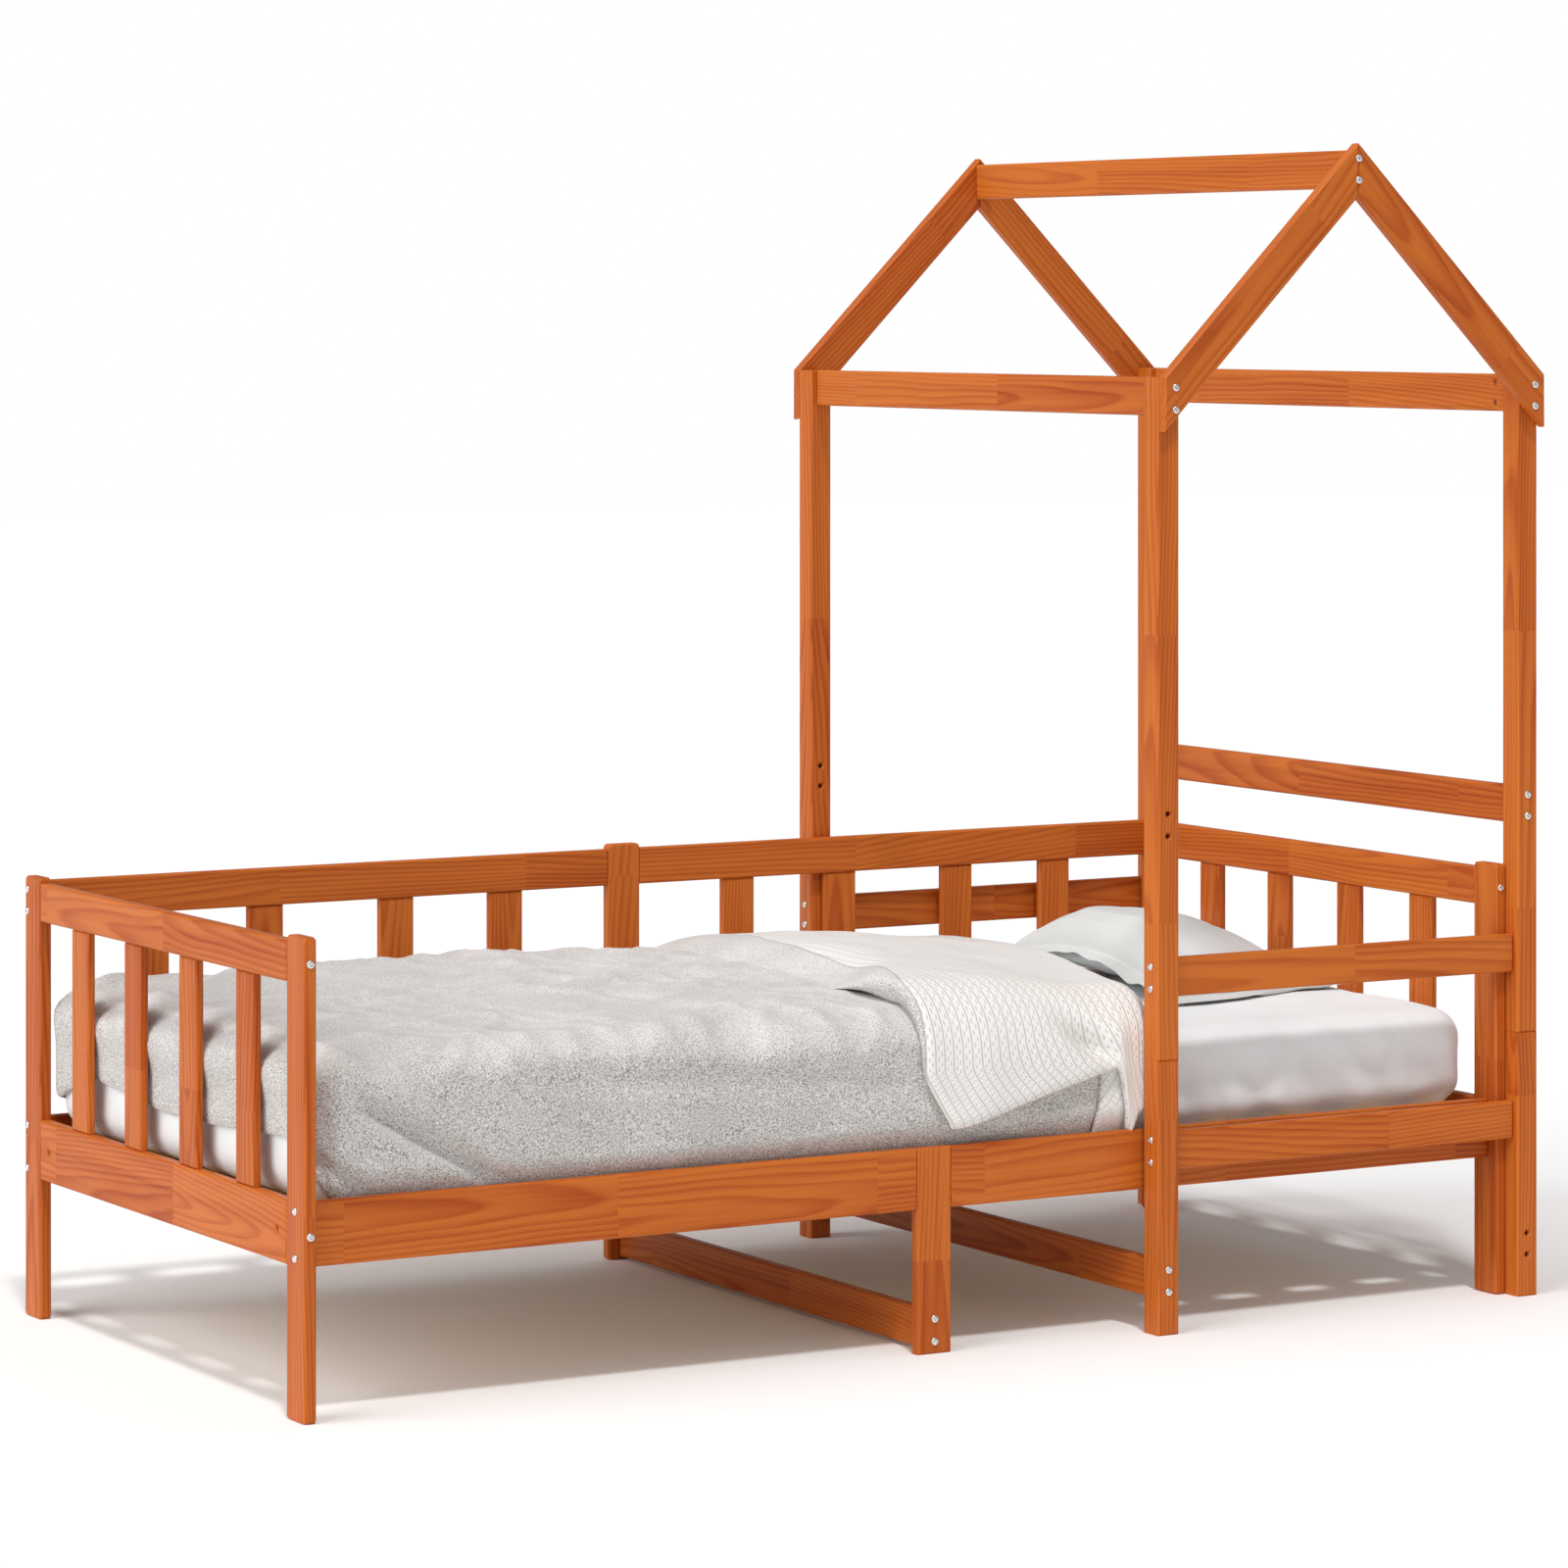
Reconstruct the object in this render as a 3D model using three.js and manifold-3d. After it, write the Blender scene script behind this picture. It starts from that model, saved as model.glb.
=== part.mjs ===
// Wooden daybed for a 90 x 200 cm mattress, with slatted foot, back and head panels and an open,
// house-shaped frame standing round its head end. Millimetres, +Z up.
//
// The bed is laid out in its own working frame: X runs from the foot end to the head end, Y from the
// front to the back, and Z is up from the floor. One outer group then moves the whole bed so that the
// origin is the middle of its footprint, on the floor.

import * as THREE from 'three';
import Module from 'manifold-3d';
import * as BufferGeometryUtils from 'three/addons/utils/BufferGeometryUtils.js';

const wasm = await Module();
wasm.setup();

// ---------------------------------------------------------------- driving dimensions

const BED = { length: 2055, depth: 990, postHeight: 668 };

const BOARD = 19;               // thickness of every plank
const POST_WIDTH = 58;          // width of posts, legs, top rails, stretchers and rafters
const RAIL_HEIGHT = 90;         // side, foot, head and back bottom rails
const RAIL_BOTTOM = 212;
const RAIL_TOP = RAIL_BOTTOM + RAIL_HEIGHT;
const TOP_RAIL_TOP = 660;
const TOP_RAIL_BOTTOM = TOP_RAIL_TOP - POST_WIDTH;
const EASE = 2.5;               // eased edge round every plank's two broad faces
const POST_CORNER = 7;          // rounded ends of the bed posts

const SLAT = { width: 60, thickness: 13 };
const END_SLAT_OFFSETS = [-292.5, -97.5, 97.5, 292.5];
const BACK_SLAT_OFFSETS = [-306, -113, 113, 306];

const LEG_FRONT = (POST_WIDTH - BOARD) / 2;      // front rails sit in the middle of the corner posts
const BACK_FACE = BED.depth - BOARD;             // back rails are flush with the back of the posts
const LEG_START = 997;                           // middle leg and middle back post, along X
const LEG_END = LEG_START + POST_WIDTH;
const CENTER_STRETCHER_BOTTOM = 5.5;

const HOUSE = { start: 1386, postX: 38, postY: 40, front: -30, eave: 1427.5, seam: 409 };
const HOUSE_HEAD = BED.length;                   // head-end house posts stand against the bed's end
const HOUSE_END = HOUSE_HEAD + HOUSE.postX;
const HOUSE_BACK = BED.depth;                    // rear house posts stand against the bed's back
const HOUSE_BACK_END = HOUSE_BACK + HOUSE.postY;
const HOUSE_FRONT_END = HOUSE.front + HOUSE.postY;
const RIDGE_X = (HOUSE.start + HOUSE_END) / 2;
const RIDGE_TOP = 1770;
const ROOF_PITCH = Math.PI / 4;
const MITRE_GAP = 0.3;                           // two rafters meet on an upright joint

const GUARD_RAIL_BOTTOM = 502.5;
const HEAD_UPPER_RAIL_BOTTOM = 731;
const HOUSE_STRETCHER_BOTTOM = 52;

const HOLE_RADIUS = 4;                           // open bolt and barrel-nut holes
const HOLE_PITCH = 33;
const NUT_SETBACK = 32;                          // barrel nuts sit this far from a rail's end

// How finely the round parts are faceted.
const SEGMENTS = { ease: 1, postCorner: 3, hole: 16, softRoll: 3, softCorner: 4, duvetRoll: 2, straight: 1 };
const WELD_DISTANCE = 1e-4;

const LEDGE = { width: 22, height: 30, bottom: 232 };
const BASE_SLATS = { count: 15, width: 70, thickness: 16, endMargin: 25, sideGap: 2 };
const BASE_TAPE = { width: 34, thickness: 3, inset: 150, sunk: 1 };

const MATTRESS = { length: 1998, depth: 900, thickness: 160, corner: 60, roll: 26 };
const MATTRESS_HEAD_GAP = 5;
const MATTRESS_CLEARANCE = 1;     // above the tapes of the base
const BASE_TOP = LEDGE.bottom + LEDGE.height + BASE_SLATS.thickness + BASE_TAPE.thickness;
const MATTRESS_BOTTOM = BASE_TOP + MATTRESS_CLEARANCE;
const MATTRESS_TOP = MATTRESS_BOTTOM + MATTRESS.thickness;

const PILLOW = {
  length: 600, width: 420, loft: 132, gap: 3, fromHead: 9, fromFront: 195, roll: 56, corner: 70,
};
const DUVET = {
  foldFront: 1405, foldBack: 1590, flapFront: 1000, flapBack: 1260, layer: 64, flap: 42, gap: 3,
  front: 26, skirt: 12.5, skirtBottom: 306, footHem: 380, roll: 16, inset: 1,
};

// ---------------------------------------------------------------- materials

function finish(color, roughness) {
  return () => new THREE.MeshStandardMaterial({ color, roughness, metalness: 0 });
}

const wood = finish(0xc4783f, 0.5);
const paleWood = finish(0xd9b88c, 0.7);
const sheetCotton = finish(0xe9e8e6, 0.95);
const duvetKnit = finish(0xc9c7c3, 0.95);
const pillowCotton = finish(0xcdcdcb, 0.95);

// ---------------------------------------------------------------- building blocks

// For a plank whose thickness runs along an axis, the two axes of its outline, in right-handed order.
const OUTLINE_AXES = { x: ['y', 'z'], y: ['z', 'x'], z: ['x', 'y'] };

function axisVector(axis) {
  return new THREE.Vector3(axis === 'x' ? 1 : 0, axis === 'y' ? 1 : 0, axis === 'z' ? 1 : 0);
}

function rectangle(width, height, corner) {
  const right = width / 2;
  const top = height / 2;
  const shape = new THREE.Shape();
  if (corner === 0) {
    shape.moveTo(-right, -top).lineTo(right, -top).lineTo(right, top).lineTo(-right, top).closePath();
    return shape;
  }
  shape.moveTo(-right + corner, -top).lineTo(right - corner, -top);
  shape.absarc(right - corner, -top + corner, corner, -Math.PI / 2, 0);
  shape.lineTo(right, top - corner);
  shape.absarc(right - corner, top - corner, corner, 0, Math.PI / 2);
  shape.lineTo(-right + corner, top);
  shape.absarc(-right + corner, top - corner, corner, Math.PI / 2, Math.PI);
  shape.lineTo(-right, -top + corner);
  shape.absarc(-right + corner, -top + corner, corner, Math.PI, Math.PI * 1.5);
  return shape;
}

// An outline pushed through a thickness, with its edges rolled over by `roll` on both faces.
function rolledExtrusion(shape, thickness, roll, segments, curveSegments) {
  const geometry = new THREE.ExtrudeGeometry(shape, {
    depth: thickness - 2 * roll,
    bevelEnabled: true,
    bevelThickness: roll,
    bevelSize: roll,
    bevelOffset: -roll,
    bevelSegments: segments,
    curveSegments,
  });
  geometry.translate(0, 0, -(thickness - 2 * roll) / 2);
  return geometry;
}

function boxCentre(low, high) {
  return new THREE.Vector3(...low).add(new THREE.Vector3(...high)).multiplyScalar(0.5);
}

function turnOutlineTo(geometry, through) {
  const [across, along] = OUTLINE_AXES[through];
  const turn = new THREE.Matrix4();
  turn.makeBasis(axisVector(across), axisVector(along), axisVector(through));
  return geometry.applyMatrix4(turn);
}

// A plank that fills the box from `low` to `high`. `through` is the axis that its broad faces look
// along, and `holes` are points that its through holes pass, along that axis.
function plank(name, low, high, { through, holes = [], corner = 0, material = wood }) {
  const centre = boxCentre(low, high);
  const size = { x: high[0] - low[0], y: high[1] - low[1], z: high[2] - low[2] };
  const [across, along] = OUTLINE_AXES[through];
  const shape = rectangle(size[across], size[along], corner);
  for (const [x, y, z] of holes) {
    const point = new THREE.Vector3(x, y, z).sub(centre);
    const hole = new THREE.Path();
    hole.absarc(point[across], point[along], HOLE_RADIUS, 0, 2 * Math.PI, true);
    shape.holes.push(hole);
  }
  const curveSegments = holes.length > 0 ? SEGMENTS.hole : SEGMENTS.postCorner;
  const board = rolledExtrusion(shape, size[through], EASE, SEGMENTS.ease, curveSegments);
  const geometry = turnOutlineTo(board, through);
  const mesh = new THREE.Mesh(geometry, material());
  mesh.name = name;
  mesh.position.copy(centre);
  return mesh;
}

function toManifold(geometry) {
  const bare = geometry.clone();
  bare.deleteAttribute('normal');
  bare.deleteAttribute('uv');
  const merged = BufferGeometryUtils.mergeVertices(bare, WELD_DISTANCE);
  return new wasm.Manifold(new wasm.Mesh({
    numProp: 3,
    vertProperties: Float32Array.from(merged.attributes.position.array),
    triVerts: Uint32Array.from(merged.index.array),
  }));
}

function fromManifold(solid) {
  const mesh = solid.getMesh();
  const geometry = new THREE.BufferGeometry();
  geometry.setAttribute('position', new THREE.BufferAttribute(Float32Array.from(mesh.vertProperties), 3));
  geometry.setIndex(Array.from(mesh.triVerts));
  geometry.computeVertexNormals();
  return geometry;
}

function joined(name, geometries, material) {
  const solid = geometries.map(toManifold).reduce((sum, piece) => sum.add(piece));
  const mesh = new THREE.Mesh(fromManifold(solid), material());
  mesh.name = name;
  return mesh;
}

function block(low, high) {
  const geometry = new THREE.BoxGeometry(high[0] - low[0], high[1] - low[1], high[2] - low[2]);
  const centre = boxCentre(low, high);
  return geometry.translate(centre.x, centre.y, centre.z);
}

// A soft slab that fills a box, with rounded upright corners and rolled upper and lower edges.
function softSlab(low, high, corner, roll) {
  const shape = rectangle(high[0] - low[0], high[1] - low[1], corner);
  const geometry = rolledExtrusion(shape, high[2] - low[2], roll, SEGMENTS.softRoll, SEGMENTS.softCorner);
  const centre = boxCentre(low, high);
  return geometry.translate(centre.x, centre.y, centre.z);
}

// ---------------------------------------------------------------- foot and head panels

// The two end panels are alike: two posts, a top rail, a bottom rail and four slats between them.
function endPanel(end, startX) {
  const group = new THREE.Group();
  const endX = startX + BOARD;
  const innerFront = POST_WIDTH;
  const innerBack = BED.depth - POST_WIDTH;
  const post = { through: 'x', corner: POST_CORNER };
  group.add(plank(`${end}_front_post`, [startX, 0, 0], [endX, POST_WIDTH, BED.postHeight], post));
  group.add(plank(`${end}_back_post`, [startX, innerBack, 0], [endX, BED.depth, BED.postHeight], post));
  group.add(plank(
    `${end}_top_rail`, [startX, innerFront, TOP_RAIL_BOTTOM], [endX, innerBack, TOP_RAIL_TOP],
    { through: 'x' },
  ));
  const nutHeight = (RAIL_BOTTOM + RAIL_TOP) / 2;
  group.add(plank(
    `${end}_bottom_rail`, [startX, innerFront, RAIL_BOTTOM], [endX, innerBack, RAIL_TOP],
    {
      through: 'x',
      holes: [[startX, innerFront + NUT_SETBACK, nutHeight], [startX, innerBack - NUT_SETBACK, nutHeight]],
    },
  ));
  const slatX = startX + (BOARD - SLAT.thickness) / 2;
  END_SLAT_OFFSETS.forEach((offset, index) => {
    const middle = BED.depth / 2 + offset;
    group.add(plank(
      `${end}_slat_${index + 1}`,
      [slatX, middle - SLAT.width / 2, RAIL_TOP],
      [slatX + SLAT.thickness, middle + SLAT.width / 2, TOP_RAIL_BOTTOM],
      { through: 'x' },
    ));
  });
  return group;
}

// ---------------------------------------------------------------- back panel

// Each half of the back has a top rail, a bottom rail and four slats, between the middle post and
// an end panel.
function backHalf(half, startX, endX, firstSlat) {
  const group = new THREE.Group();
  const back = BED.depth;
  group.add(plank(
    `back_top_rail_${half}`, [startX, BACK_FACE, TOP_RAIL_BOTTOM], [endX, back, TOP_RAIL_TOP],
    { through: 'y' },
  ));
  group.add(plank(
    `back_bottom_rail_${half}`, [startX, BACK_FACE, RAIL_BOTTOM], [endX, back, RAIL_TOP],
    { through: 'y' },
  ));
  const slatY = BACK_FACE + (BOARD - SLAT.thickness) / 2;
  BACK_SLAT_OFFSETS.forEach((offset, index) => {
    const middle = (startX + endX) / 2 + offset;
    group.add(plank(
      `back_slat_${firstSlat + index}`,
      [middle - SLAT.width / 2, slatY, RAIL_TOP],
      [middle + SLAT.width / 2, slatY + SLAT.thickness, TOP_RAIL_BOTTOM],
      { through: 'y' },
    ));
  });
  return group;
}

function backPanel() {
  const group = new THREE.Group();
  group.add(plank(
    'back_center_post', [LEG_START, BACK_FACE, 0], [LEG_END, BED.depth, BED.postHeight],
    { through: 'y', corner: POST_CORNER },
  ));
  group.add(backHalf('foot_half', BOARD, LEG_START, 1));
  group.add(backHalf('head_half', LEG_END, BED.length - BOARD, 1 + BACK_SLAT_OFFSETS.length));
  return group;
}

// ---------------------------------------------------------------- front side and under-frame

function frontSide() {
  const group = new THREE.Group();
  const near = LEG_FRONT;
  const far = LEG_FRONT + BOARD;
  group.add(plank('front_center_leg', [LEG_START, near, 0], [LEG_END, far, RAIL_TOP], { through: 'y' }));
  group.add(plank(
    'front_rail_foot_half', [BOARD, near, RAIL_BOTTOM], [LEG_START, far, RAIL_TOP], { through: 'y' },
  ));
  group.add(plank(
    'front_rail_head_half', [LEG_END, near, RAIL_BOTTOM], [BED.length - BOARD, far, RAIL_TOP],
    { through: 'y' },
  ));
  return group;
}

function centerStretcher() {
  const middle = (LEG_START + LEG_END) / 2;
  return plank(
    'center_stretcher',
    [middle - BOARD / 2, LEG_FRONT + BOARD, CENTER_STRETCHER_BOTTOM],
    [middle + BOARD / 2, BACK_FACE, CENTER_STRETCHER_BOTTOM + POST_WIDTH],
    { through: 'x' },
  );
}

// Strips screwed inside the long rails, which tie the rail halves together and carry the slats.
function slatLedges() {
  const group = new THREE.Group();
  const frontFace = LEG_FRONT + BOARD;
  const top = LEDGE.bottom + LEDGE.height;
  const start = BOARD;
  const end = BED.length - BOARD;
  group.add(plank(
    'front_slat_ledge', [start, frontFace, LEDGE.bottom], [end, frontFace + LEDGE.width, top],
    { through: 'y' },
  ));
  group.add(plank(
    'back_slat_ledge', [start, BACK_FACE - LEDGE.width, LEDGE.bottom], [end, BACK_FACE, top],
    { through: 'y' },
  ));
  return group;
}

// Roll-out base: loose slats held at an even spacing by two tapes stapled along their tops.
function slattedBase() {
  const bottom = LEDGE.bottom + LEDGE.height;
  const top = bottom + BASE_SLATS.thickness;
  const front = LEG_FRONT + BOARD + BASE_SLATS.sideGap;
  const back = BACK_FACE - BASE_SLATS.sideGap;
  const first = BOARD + BASE_SLATS.endMargin;
  const last = BED.length - BOARD - BASE_SLATS.endMargin - BASE_SLATS.width;
  const pitch = (last - first) / (BASE_SLATS.count - 1);
  const pieces = [];
  for (let index = 0; index < BASE_SLATS.count; index += 1) {
    const start = first + index * pitch;
    pieces.push(block([start, front, bottom], [start + BASE_SLATS.width, back, top]));
  }
  for (const tapeStart of [front + BASE_TAPE.inset, back - BASE_TAPE.inset - BASE_TAPE.width]) {
    pieces.push(block(
      [first + BASE_TAPE.sunk, tapeStart, top - BASE_TAPE.sunk],
      [last + BASE_SLATS.width - BASE_TAPE.sunk, tapeStart + BASE_TAPE.width, top + BASE_TAPE.thickness],
    ));
  }
  return joined('slatted_base', pieces, paleWood);
}

// ---------------------------------------------------------------- house frame

// Each tall post is dowelled together from a lower and an upper length.
function housePost(label, startX, startY, lowerHoles, upperHoles) {
  const group = new THREE.Group();
  const endX = startX + HOUSE.postX;
  const endY = startY + HOUSE.postY;
  group.add(plank(
    `house_post_${label}_lower`, [startX, startY, 0], [endX, endY, HOUSE.seam],
    { through: 'y', holes: lowerHoles },
  ));
  group.add(plank(
    `house_post_${label}_upper`, [startX, startY, HOUSE.seam], [endX, endY, HOUSE.eave],
    { through: 'y', holes: upperHoles },
  ));
  return group;
}

function holePair(x, railBottom) {
  const middle = railBottom + POST_WIDTH / 2;
  return [[x, 0, middle - HOLE_PITCH / 2], [x, 0, middle + HOLE_PITCH / 2]];
}

// The posts are drilled alike, so the holes of the cross rail that a pair doesn't carry stay open.
function housePosts() {
  const group = new THREE.Group();
  const innerX = HOUSE.start + HOUSE.postX / 2;
  const headX = HOUSE_HEAD + HOUSE.postX / 2;
  const innerHoles = holePair(innerX, HEAD_UPPER_RAIL_BOTTOM);
  const headHoles = holePair(headX, HOUSE_STRETCHER_BOTTOM);
  for (const [side, startY] of [['front', HOUSE.front], ['back', HOUSE_BACK]]) {
    group.add(housePost(`${side}_inner`, HOUSE.start, startY, [], innerHoles));
    group.add(housePost(`${side}_head`, HOUSE_HEAD, startY, headHoles, []));
  }
  return group;
}

// A rafter lies outside the posts. Both of its ends are cut upright: one flush with a post, the
// other on the centre line of the roof, where it meets its partner.
function rafter(name, footX, startY) {
  const uprightCut = POST_WIDTH / Math.cos(ROOF_PITCH);
  const direction = Math.sign(RIDGE_X - footX);
  const run = Math.abs(RIDGE_X - footX) - MITRE_GAP / 2;
  const rise = run * Math.tan(ROOF_PITCH);
  const lowTip = HOUSE.eave - uprightCut;
  const corners = [
    new THREE.Vector2(0, 0),
    new THREE.Vector2(direction * run, rise),
    new THREE.Vector2(direction * run, rise + uprightCut),
    new THREE.Vector2(0, uprightCut),
  ];
  const shape = new THREE.Shape(corners);
  const geometry = rolledExtrusion(shape, BOARD, EASE, SEGMENTS.ease, SEGMENTS.straight);
  geometry.rotateX(Math.PI / 2);
  const mesh = new THREE.Mesh(geometry, wood());
  mesh.name = name;
  mesh.position.set(footX, startY + BOARD / 2, lowTip);
  return mesh;
}

function roof() {
  const group = new THREE.Group();
  for (const [side, startY] of [['front', HOUSE.front - BOARD], ['back', HOUSE_BACK_END]]) {
    group.add(rafter(`rafter_${side}_foot_side`, HOUSE.start, startY));
    group.add(rafter(`rafter_${side}_head_side`, HOUSE_END, startY));
  }
  group.add(plank(
    'ridge_beam',
    [RIDGE_X - BOARD / 2, HOUSE.front, RIDGE_TOP - POST_WIDTH],
    [RIDGE_X + BOARD / 2, HOUSE_BACK_END, RIDGE_TOP],
    { through: 'x' },
  ));
  return group;
}

// A rail between a front and a back house post, in the middle of the posts' width.
function crossRail(name, postStartX, bottom) {
  const middle = postStartX + HOUSE.postX / 2;
  return plank(
    name,
    [middle - BOARD / 2, HOUSE_FRONT_END, bottom],
    [middle + BOARD / 2, HOUSE_BACK, bottom + POST_WIDTH],
    { through: 'x' },
  );
}

function eaveRailHead() {
  const middle = HOUSE_HEAD + HOUSE.postX / 2;
  const bottom = HOUSE.eave - POST_WIDTH;
  const nutY = HOUSE_FRONT_END + NUT_SETBACK;
  const nutBackY = HOUSE_BACK - NUT_SETBACK;
  const holes = [];
  for (const point of holePair(middle, bottom)) {
    holes.push([point[0], nutY, point[2]], [point[0], nutBackY, point[2]]);
  }
  return plank(
    'eave_rail_head',
    [middle - BOARD / 2, HOUSE_FRONT_END, bottom],
    [middle + BOARD / 2, HOUSE_BACK, HOUSE.eave],
    { through: 'x', holes },
  );
}

// The long rails at the front and the back of the house, in the middle of the posts' depth.
function houseSideRails() {
  const group = new THREE.Group();
  const start = HOUSE.start + HOUSE.postX;
  const inset = (HOUSE.postY - BOARD) / 2;
  const heights = [['guard_rail', GUARD_RAIL_BOTTOM], ['house_bottom_rail', RAIL_TOP - POST_WIDTH]];
  for (const [side, postY] of [['front', HOUSE.front], ['back', HOUSE_BACK]]) {
    for (const [kind, bottom] of heights) {
      group.add(plank(
        `${kind}_${side}`,
        [start, postY + inset, bottom],
        [HOUSE_HEAD, postY + inset + BOARD, bottom + POST_WIDTH],
        { through: 'y' },
      ));
    }
  }
  return group;
}

function house() {
  const group = new THREE.Group();
  group.add(housePosts(), roof(), houseSideRails());
  group.add(crossRail('eave_rail_inner', HOUSE.start, HOUSE.eave - POST_WIDTH));
  group.add(eaveRailHead());
  group.add(crossRail('head_upper_rail', HOUSE_HEAD, HEAD_UPPER_RAIL_BOTTOM));
  group.add(crossRail('house_stretcher', HOUSE.start, HOUSE_STRETCHER_BOTTOM));
  return group;
}

// ---------------------------------------------------------------- bedding

const MATTRESS_END = BED.length - BOARD - MATTRESS_HEAD_GAP;
const MATTRESS_START = MATTRESS_END - MATTRESS.length;
const MATTRESS_MIDDLE = (LEG_FRONT + BOARD + BACK_FACE) / 2;
const MATTRESS_FRONT = MATTRESS_MIDDLE - MATTRESS.depth / 2;
const MATTRESS_BACK = MATTRESS_MIDDLE + MATTRESS.depth / 2;

function mattress() {
  const mesh = new THREE.Mesh(softSlab(
    [MATTRESS_START, MATTRESS_FRONT, MATTRESS_BOTTOM], [MATTRESS_END, MATTRESS_BACK, MATTRESS_TOP],
    MATTRESS.corner, MATTRESS.roll,
  ), sheetCotton());
  mesh.name = 'mattress';
  return mesh;
}

function pillow() {
  const end = MATTRESS_END - PILLOW.fromHead;
  const bottom = MATTRESS_TOP + PILLOW.gap;
  const mesh = new THREE.Mesh(softSlab(
    [end - PILLOW.width, PILLOW.fromFront, bottom],
    [end, PILLOW.fromFront + PILLOW.length, bottom + PILLOW.loft],
    PILLOW.corner, PILLOW.roll,
  ), pillowCotton());
  mesh.name = 'pillow';
  return mesh;
}

// A flat-topped soft piece with a four-cornered outline, rolled over at its upper and lower edges.
function softOutline(corners, bottom, top, roll) {
  const shape = new THREE.Shape(corners.map(([x, y]) => new THREE.Vector2(x, y)));
  const geometry = rolledExtrusion(shape, top - bottom, roll, SEGMENTS.duvetRoll, SEGMENTS.straight);
  return geometry.translate(0, 0, (bottom + top) / 2);
}

// The duvet lies on the mattress, is folded back on itself along a slanting line at its head end,
// and hangs down the front, the back and the foot end of the mattress.
function duvet() {
  const bottom = MATTRESS_TOP + DUVET.gap;
  const top = bottom + DUVET.layer;
  const foot = MATTRESS_START - DUVET.skirt;
  const front = DUVET.front;
  const { inset } = DUVET;
  const back = MATTRESS_BACK + DUVET.skirt + inset;
  const middle = bottom + DUVET.layer / 2;
  const skirtEnd = DUVET.foldFront - DUVET.layer;
  const fold = [
    [DUVET.flapFront, front + inset], [DUVET.foldFront, front + inset],
    [DUVET.foldBack, back - inset], [DUVET.flapBack, back - inset],
  ];
  const pieces = [
    softOutline(
      [[foot, front], [DUVET.foldFront, front], [DUVET.foldBack, back], [foot, back]],
      bottom, top, DUVET.roll,
    ),
    softOutline(fold, middle, top + DUVET.flap, DUVET.roll),
    block([foot + inset, front + DUVET.roll / 2, DUVET.skirtBottom],
      [skirtEnd, MATTRESS_FRONT - inset, middle]),
    block([foot + inset, MATTRESS_BACK + inset, DUVET.skirtBottom],
      [skirtEnd, back - inset, middle]),
    block([foot + inset, MATTRESS_FRONT - 2 * inset, DUVET.footHem],
      [MATTRESS_START - inset, MATTRESS_BACK - inset, middle]),
  ];
  return joined('duvet', pieces, duvetKnit);
}

// ---------------------------------------------------------------- assembly

const bed = new THREE.Group();
bed.add(endPanel('foot', 0), endPanel('head', BED.length - BOARD));
bed.add(backPanel(), frontSide(), centerStretcher(), slatLedges(), slattedBase());
bed.add(house());
bed.add(mattress(), pillow(), duvet());
bed.position.set(-HOUSE_END / 2, -(HOUSE.front + HOUSE_BACK_END) / 2, 0);

const group = new THREE.Group();
group.add(bed);

export default group;
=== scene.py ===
"""Looks for the wooden daybed with a house frame: materials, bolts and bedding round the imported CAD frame.

Every length is in metres in the row frame: +X from the foot end to the head end, +Y from the open front
to the slatted back, +Z up from the floor. Places come from the CAD nodes' boxes.
"""
import math
import random

import bmesh
import bpy
import numpy as np
from mathutils import Euler, Matrix, Vector, noise


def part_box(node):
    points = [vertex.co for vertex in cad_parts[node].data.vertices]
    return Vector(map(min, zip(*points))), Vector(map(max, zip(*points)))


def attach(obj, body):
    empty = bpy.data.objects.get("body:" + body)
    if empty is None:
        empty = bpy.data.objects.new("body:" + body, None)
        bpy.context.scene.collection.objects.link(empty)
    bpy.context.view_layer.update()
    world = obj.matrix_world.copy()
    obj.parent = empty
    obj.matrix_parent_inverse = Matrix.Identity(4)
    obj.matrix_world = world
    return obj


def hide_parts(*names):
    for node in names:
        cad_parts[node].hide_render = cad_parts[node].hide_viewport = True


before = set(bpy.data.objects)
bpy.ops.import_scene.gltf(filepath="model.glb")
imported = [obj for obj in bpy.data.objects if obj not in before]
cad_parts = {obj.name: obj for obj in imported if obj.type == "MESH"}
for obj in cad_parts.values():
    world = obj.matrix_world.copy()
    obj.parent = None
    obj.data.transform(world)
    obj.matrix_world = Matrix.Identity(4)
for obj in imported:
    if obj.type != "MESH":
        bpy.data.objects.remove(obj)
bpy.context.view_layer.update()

MM = 0.001
FRAME_BODY = "frame"


# ---------------------------------------------------------------- camera, light and floor

CAMERA_PLACE = (-4.3729, -7.5404, 1.5366)
CAMERA_YAW = -30.13          # degrees, turned from +Y towards the head end
CAMERA_LENS = 130.06         # mm on a 36 mm sensor
CAMERA_SHIFT = -0.3062       # the horizon lies well above the middle of the frame
AMBIENT = 0.33                # light that comes evenly from all round
BACKDROP = 1.0                # brightness of the plain backdrop behind the bed
# name, strength, direction of travel and spread in degrees of the two lamps
LAMPS = (
    ("wide_lamp", 1.90, (0.85, 0.09, -0.52), 55.0),
    ("key_lamp", 1.36, (0.15, 0.42, -0.89), 6.0),
)
FLOOR_HALF_SIZE = 30.0
WHITE = (1.0, 1.0, 1.0, 1.0)


def link(obj):
    bpy.context.scene.collection.objects.link(obj)
    return obj


def make_camera():
    camera = link(bpy.data.objects.new("camera", bpy.data.cameras.new("camera")))
    camera.data.sensor_width = 36.0
    camera.data.lens = CAMERA_LENS
    camera.data.shift_y = CAMERA_SHIFT
    camera.data.clip_end = 80.0
    camera.location = CAMERA_PLACE
    camera.rotation_euler = (math.radians(90), 0, math.radians(CAMERA_YAW))
    bpy.context.scene.camera = camera


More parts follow.
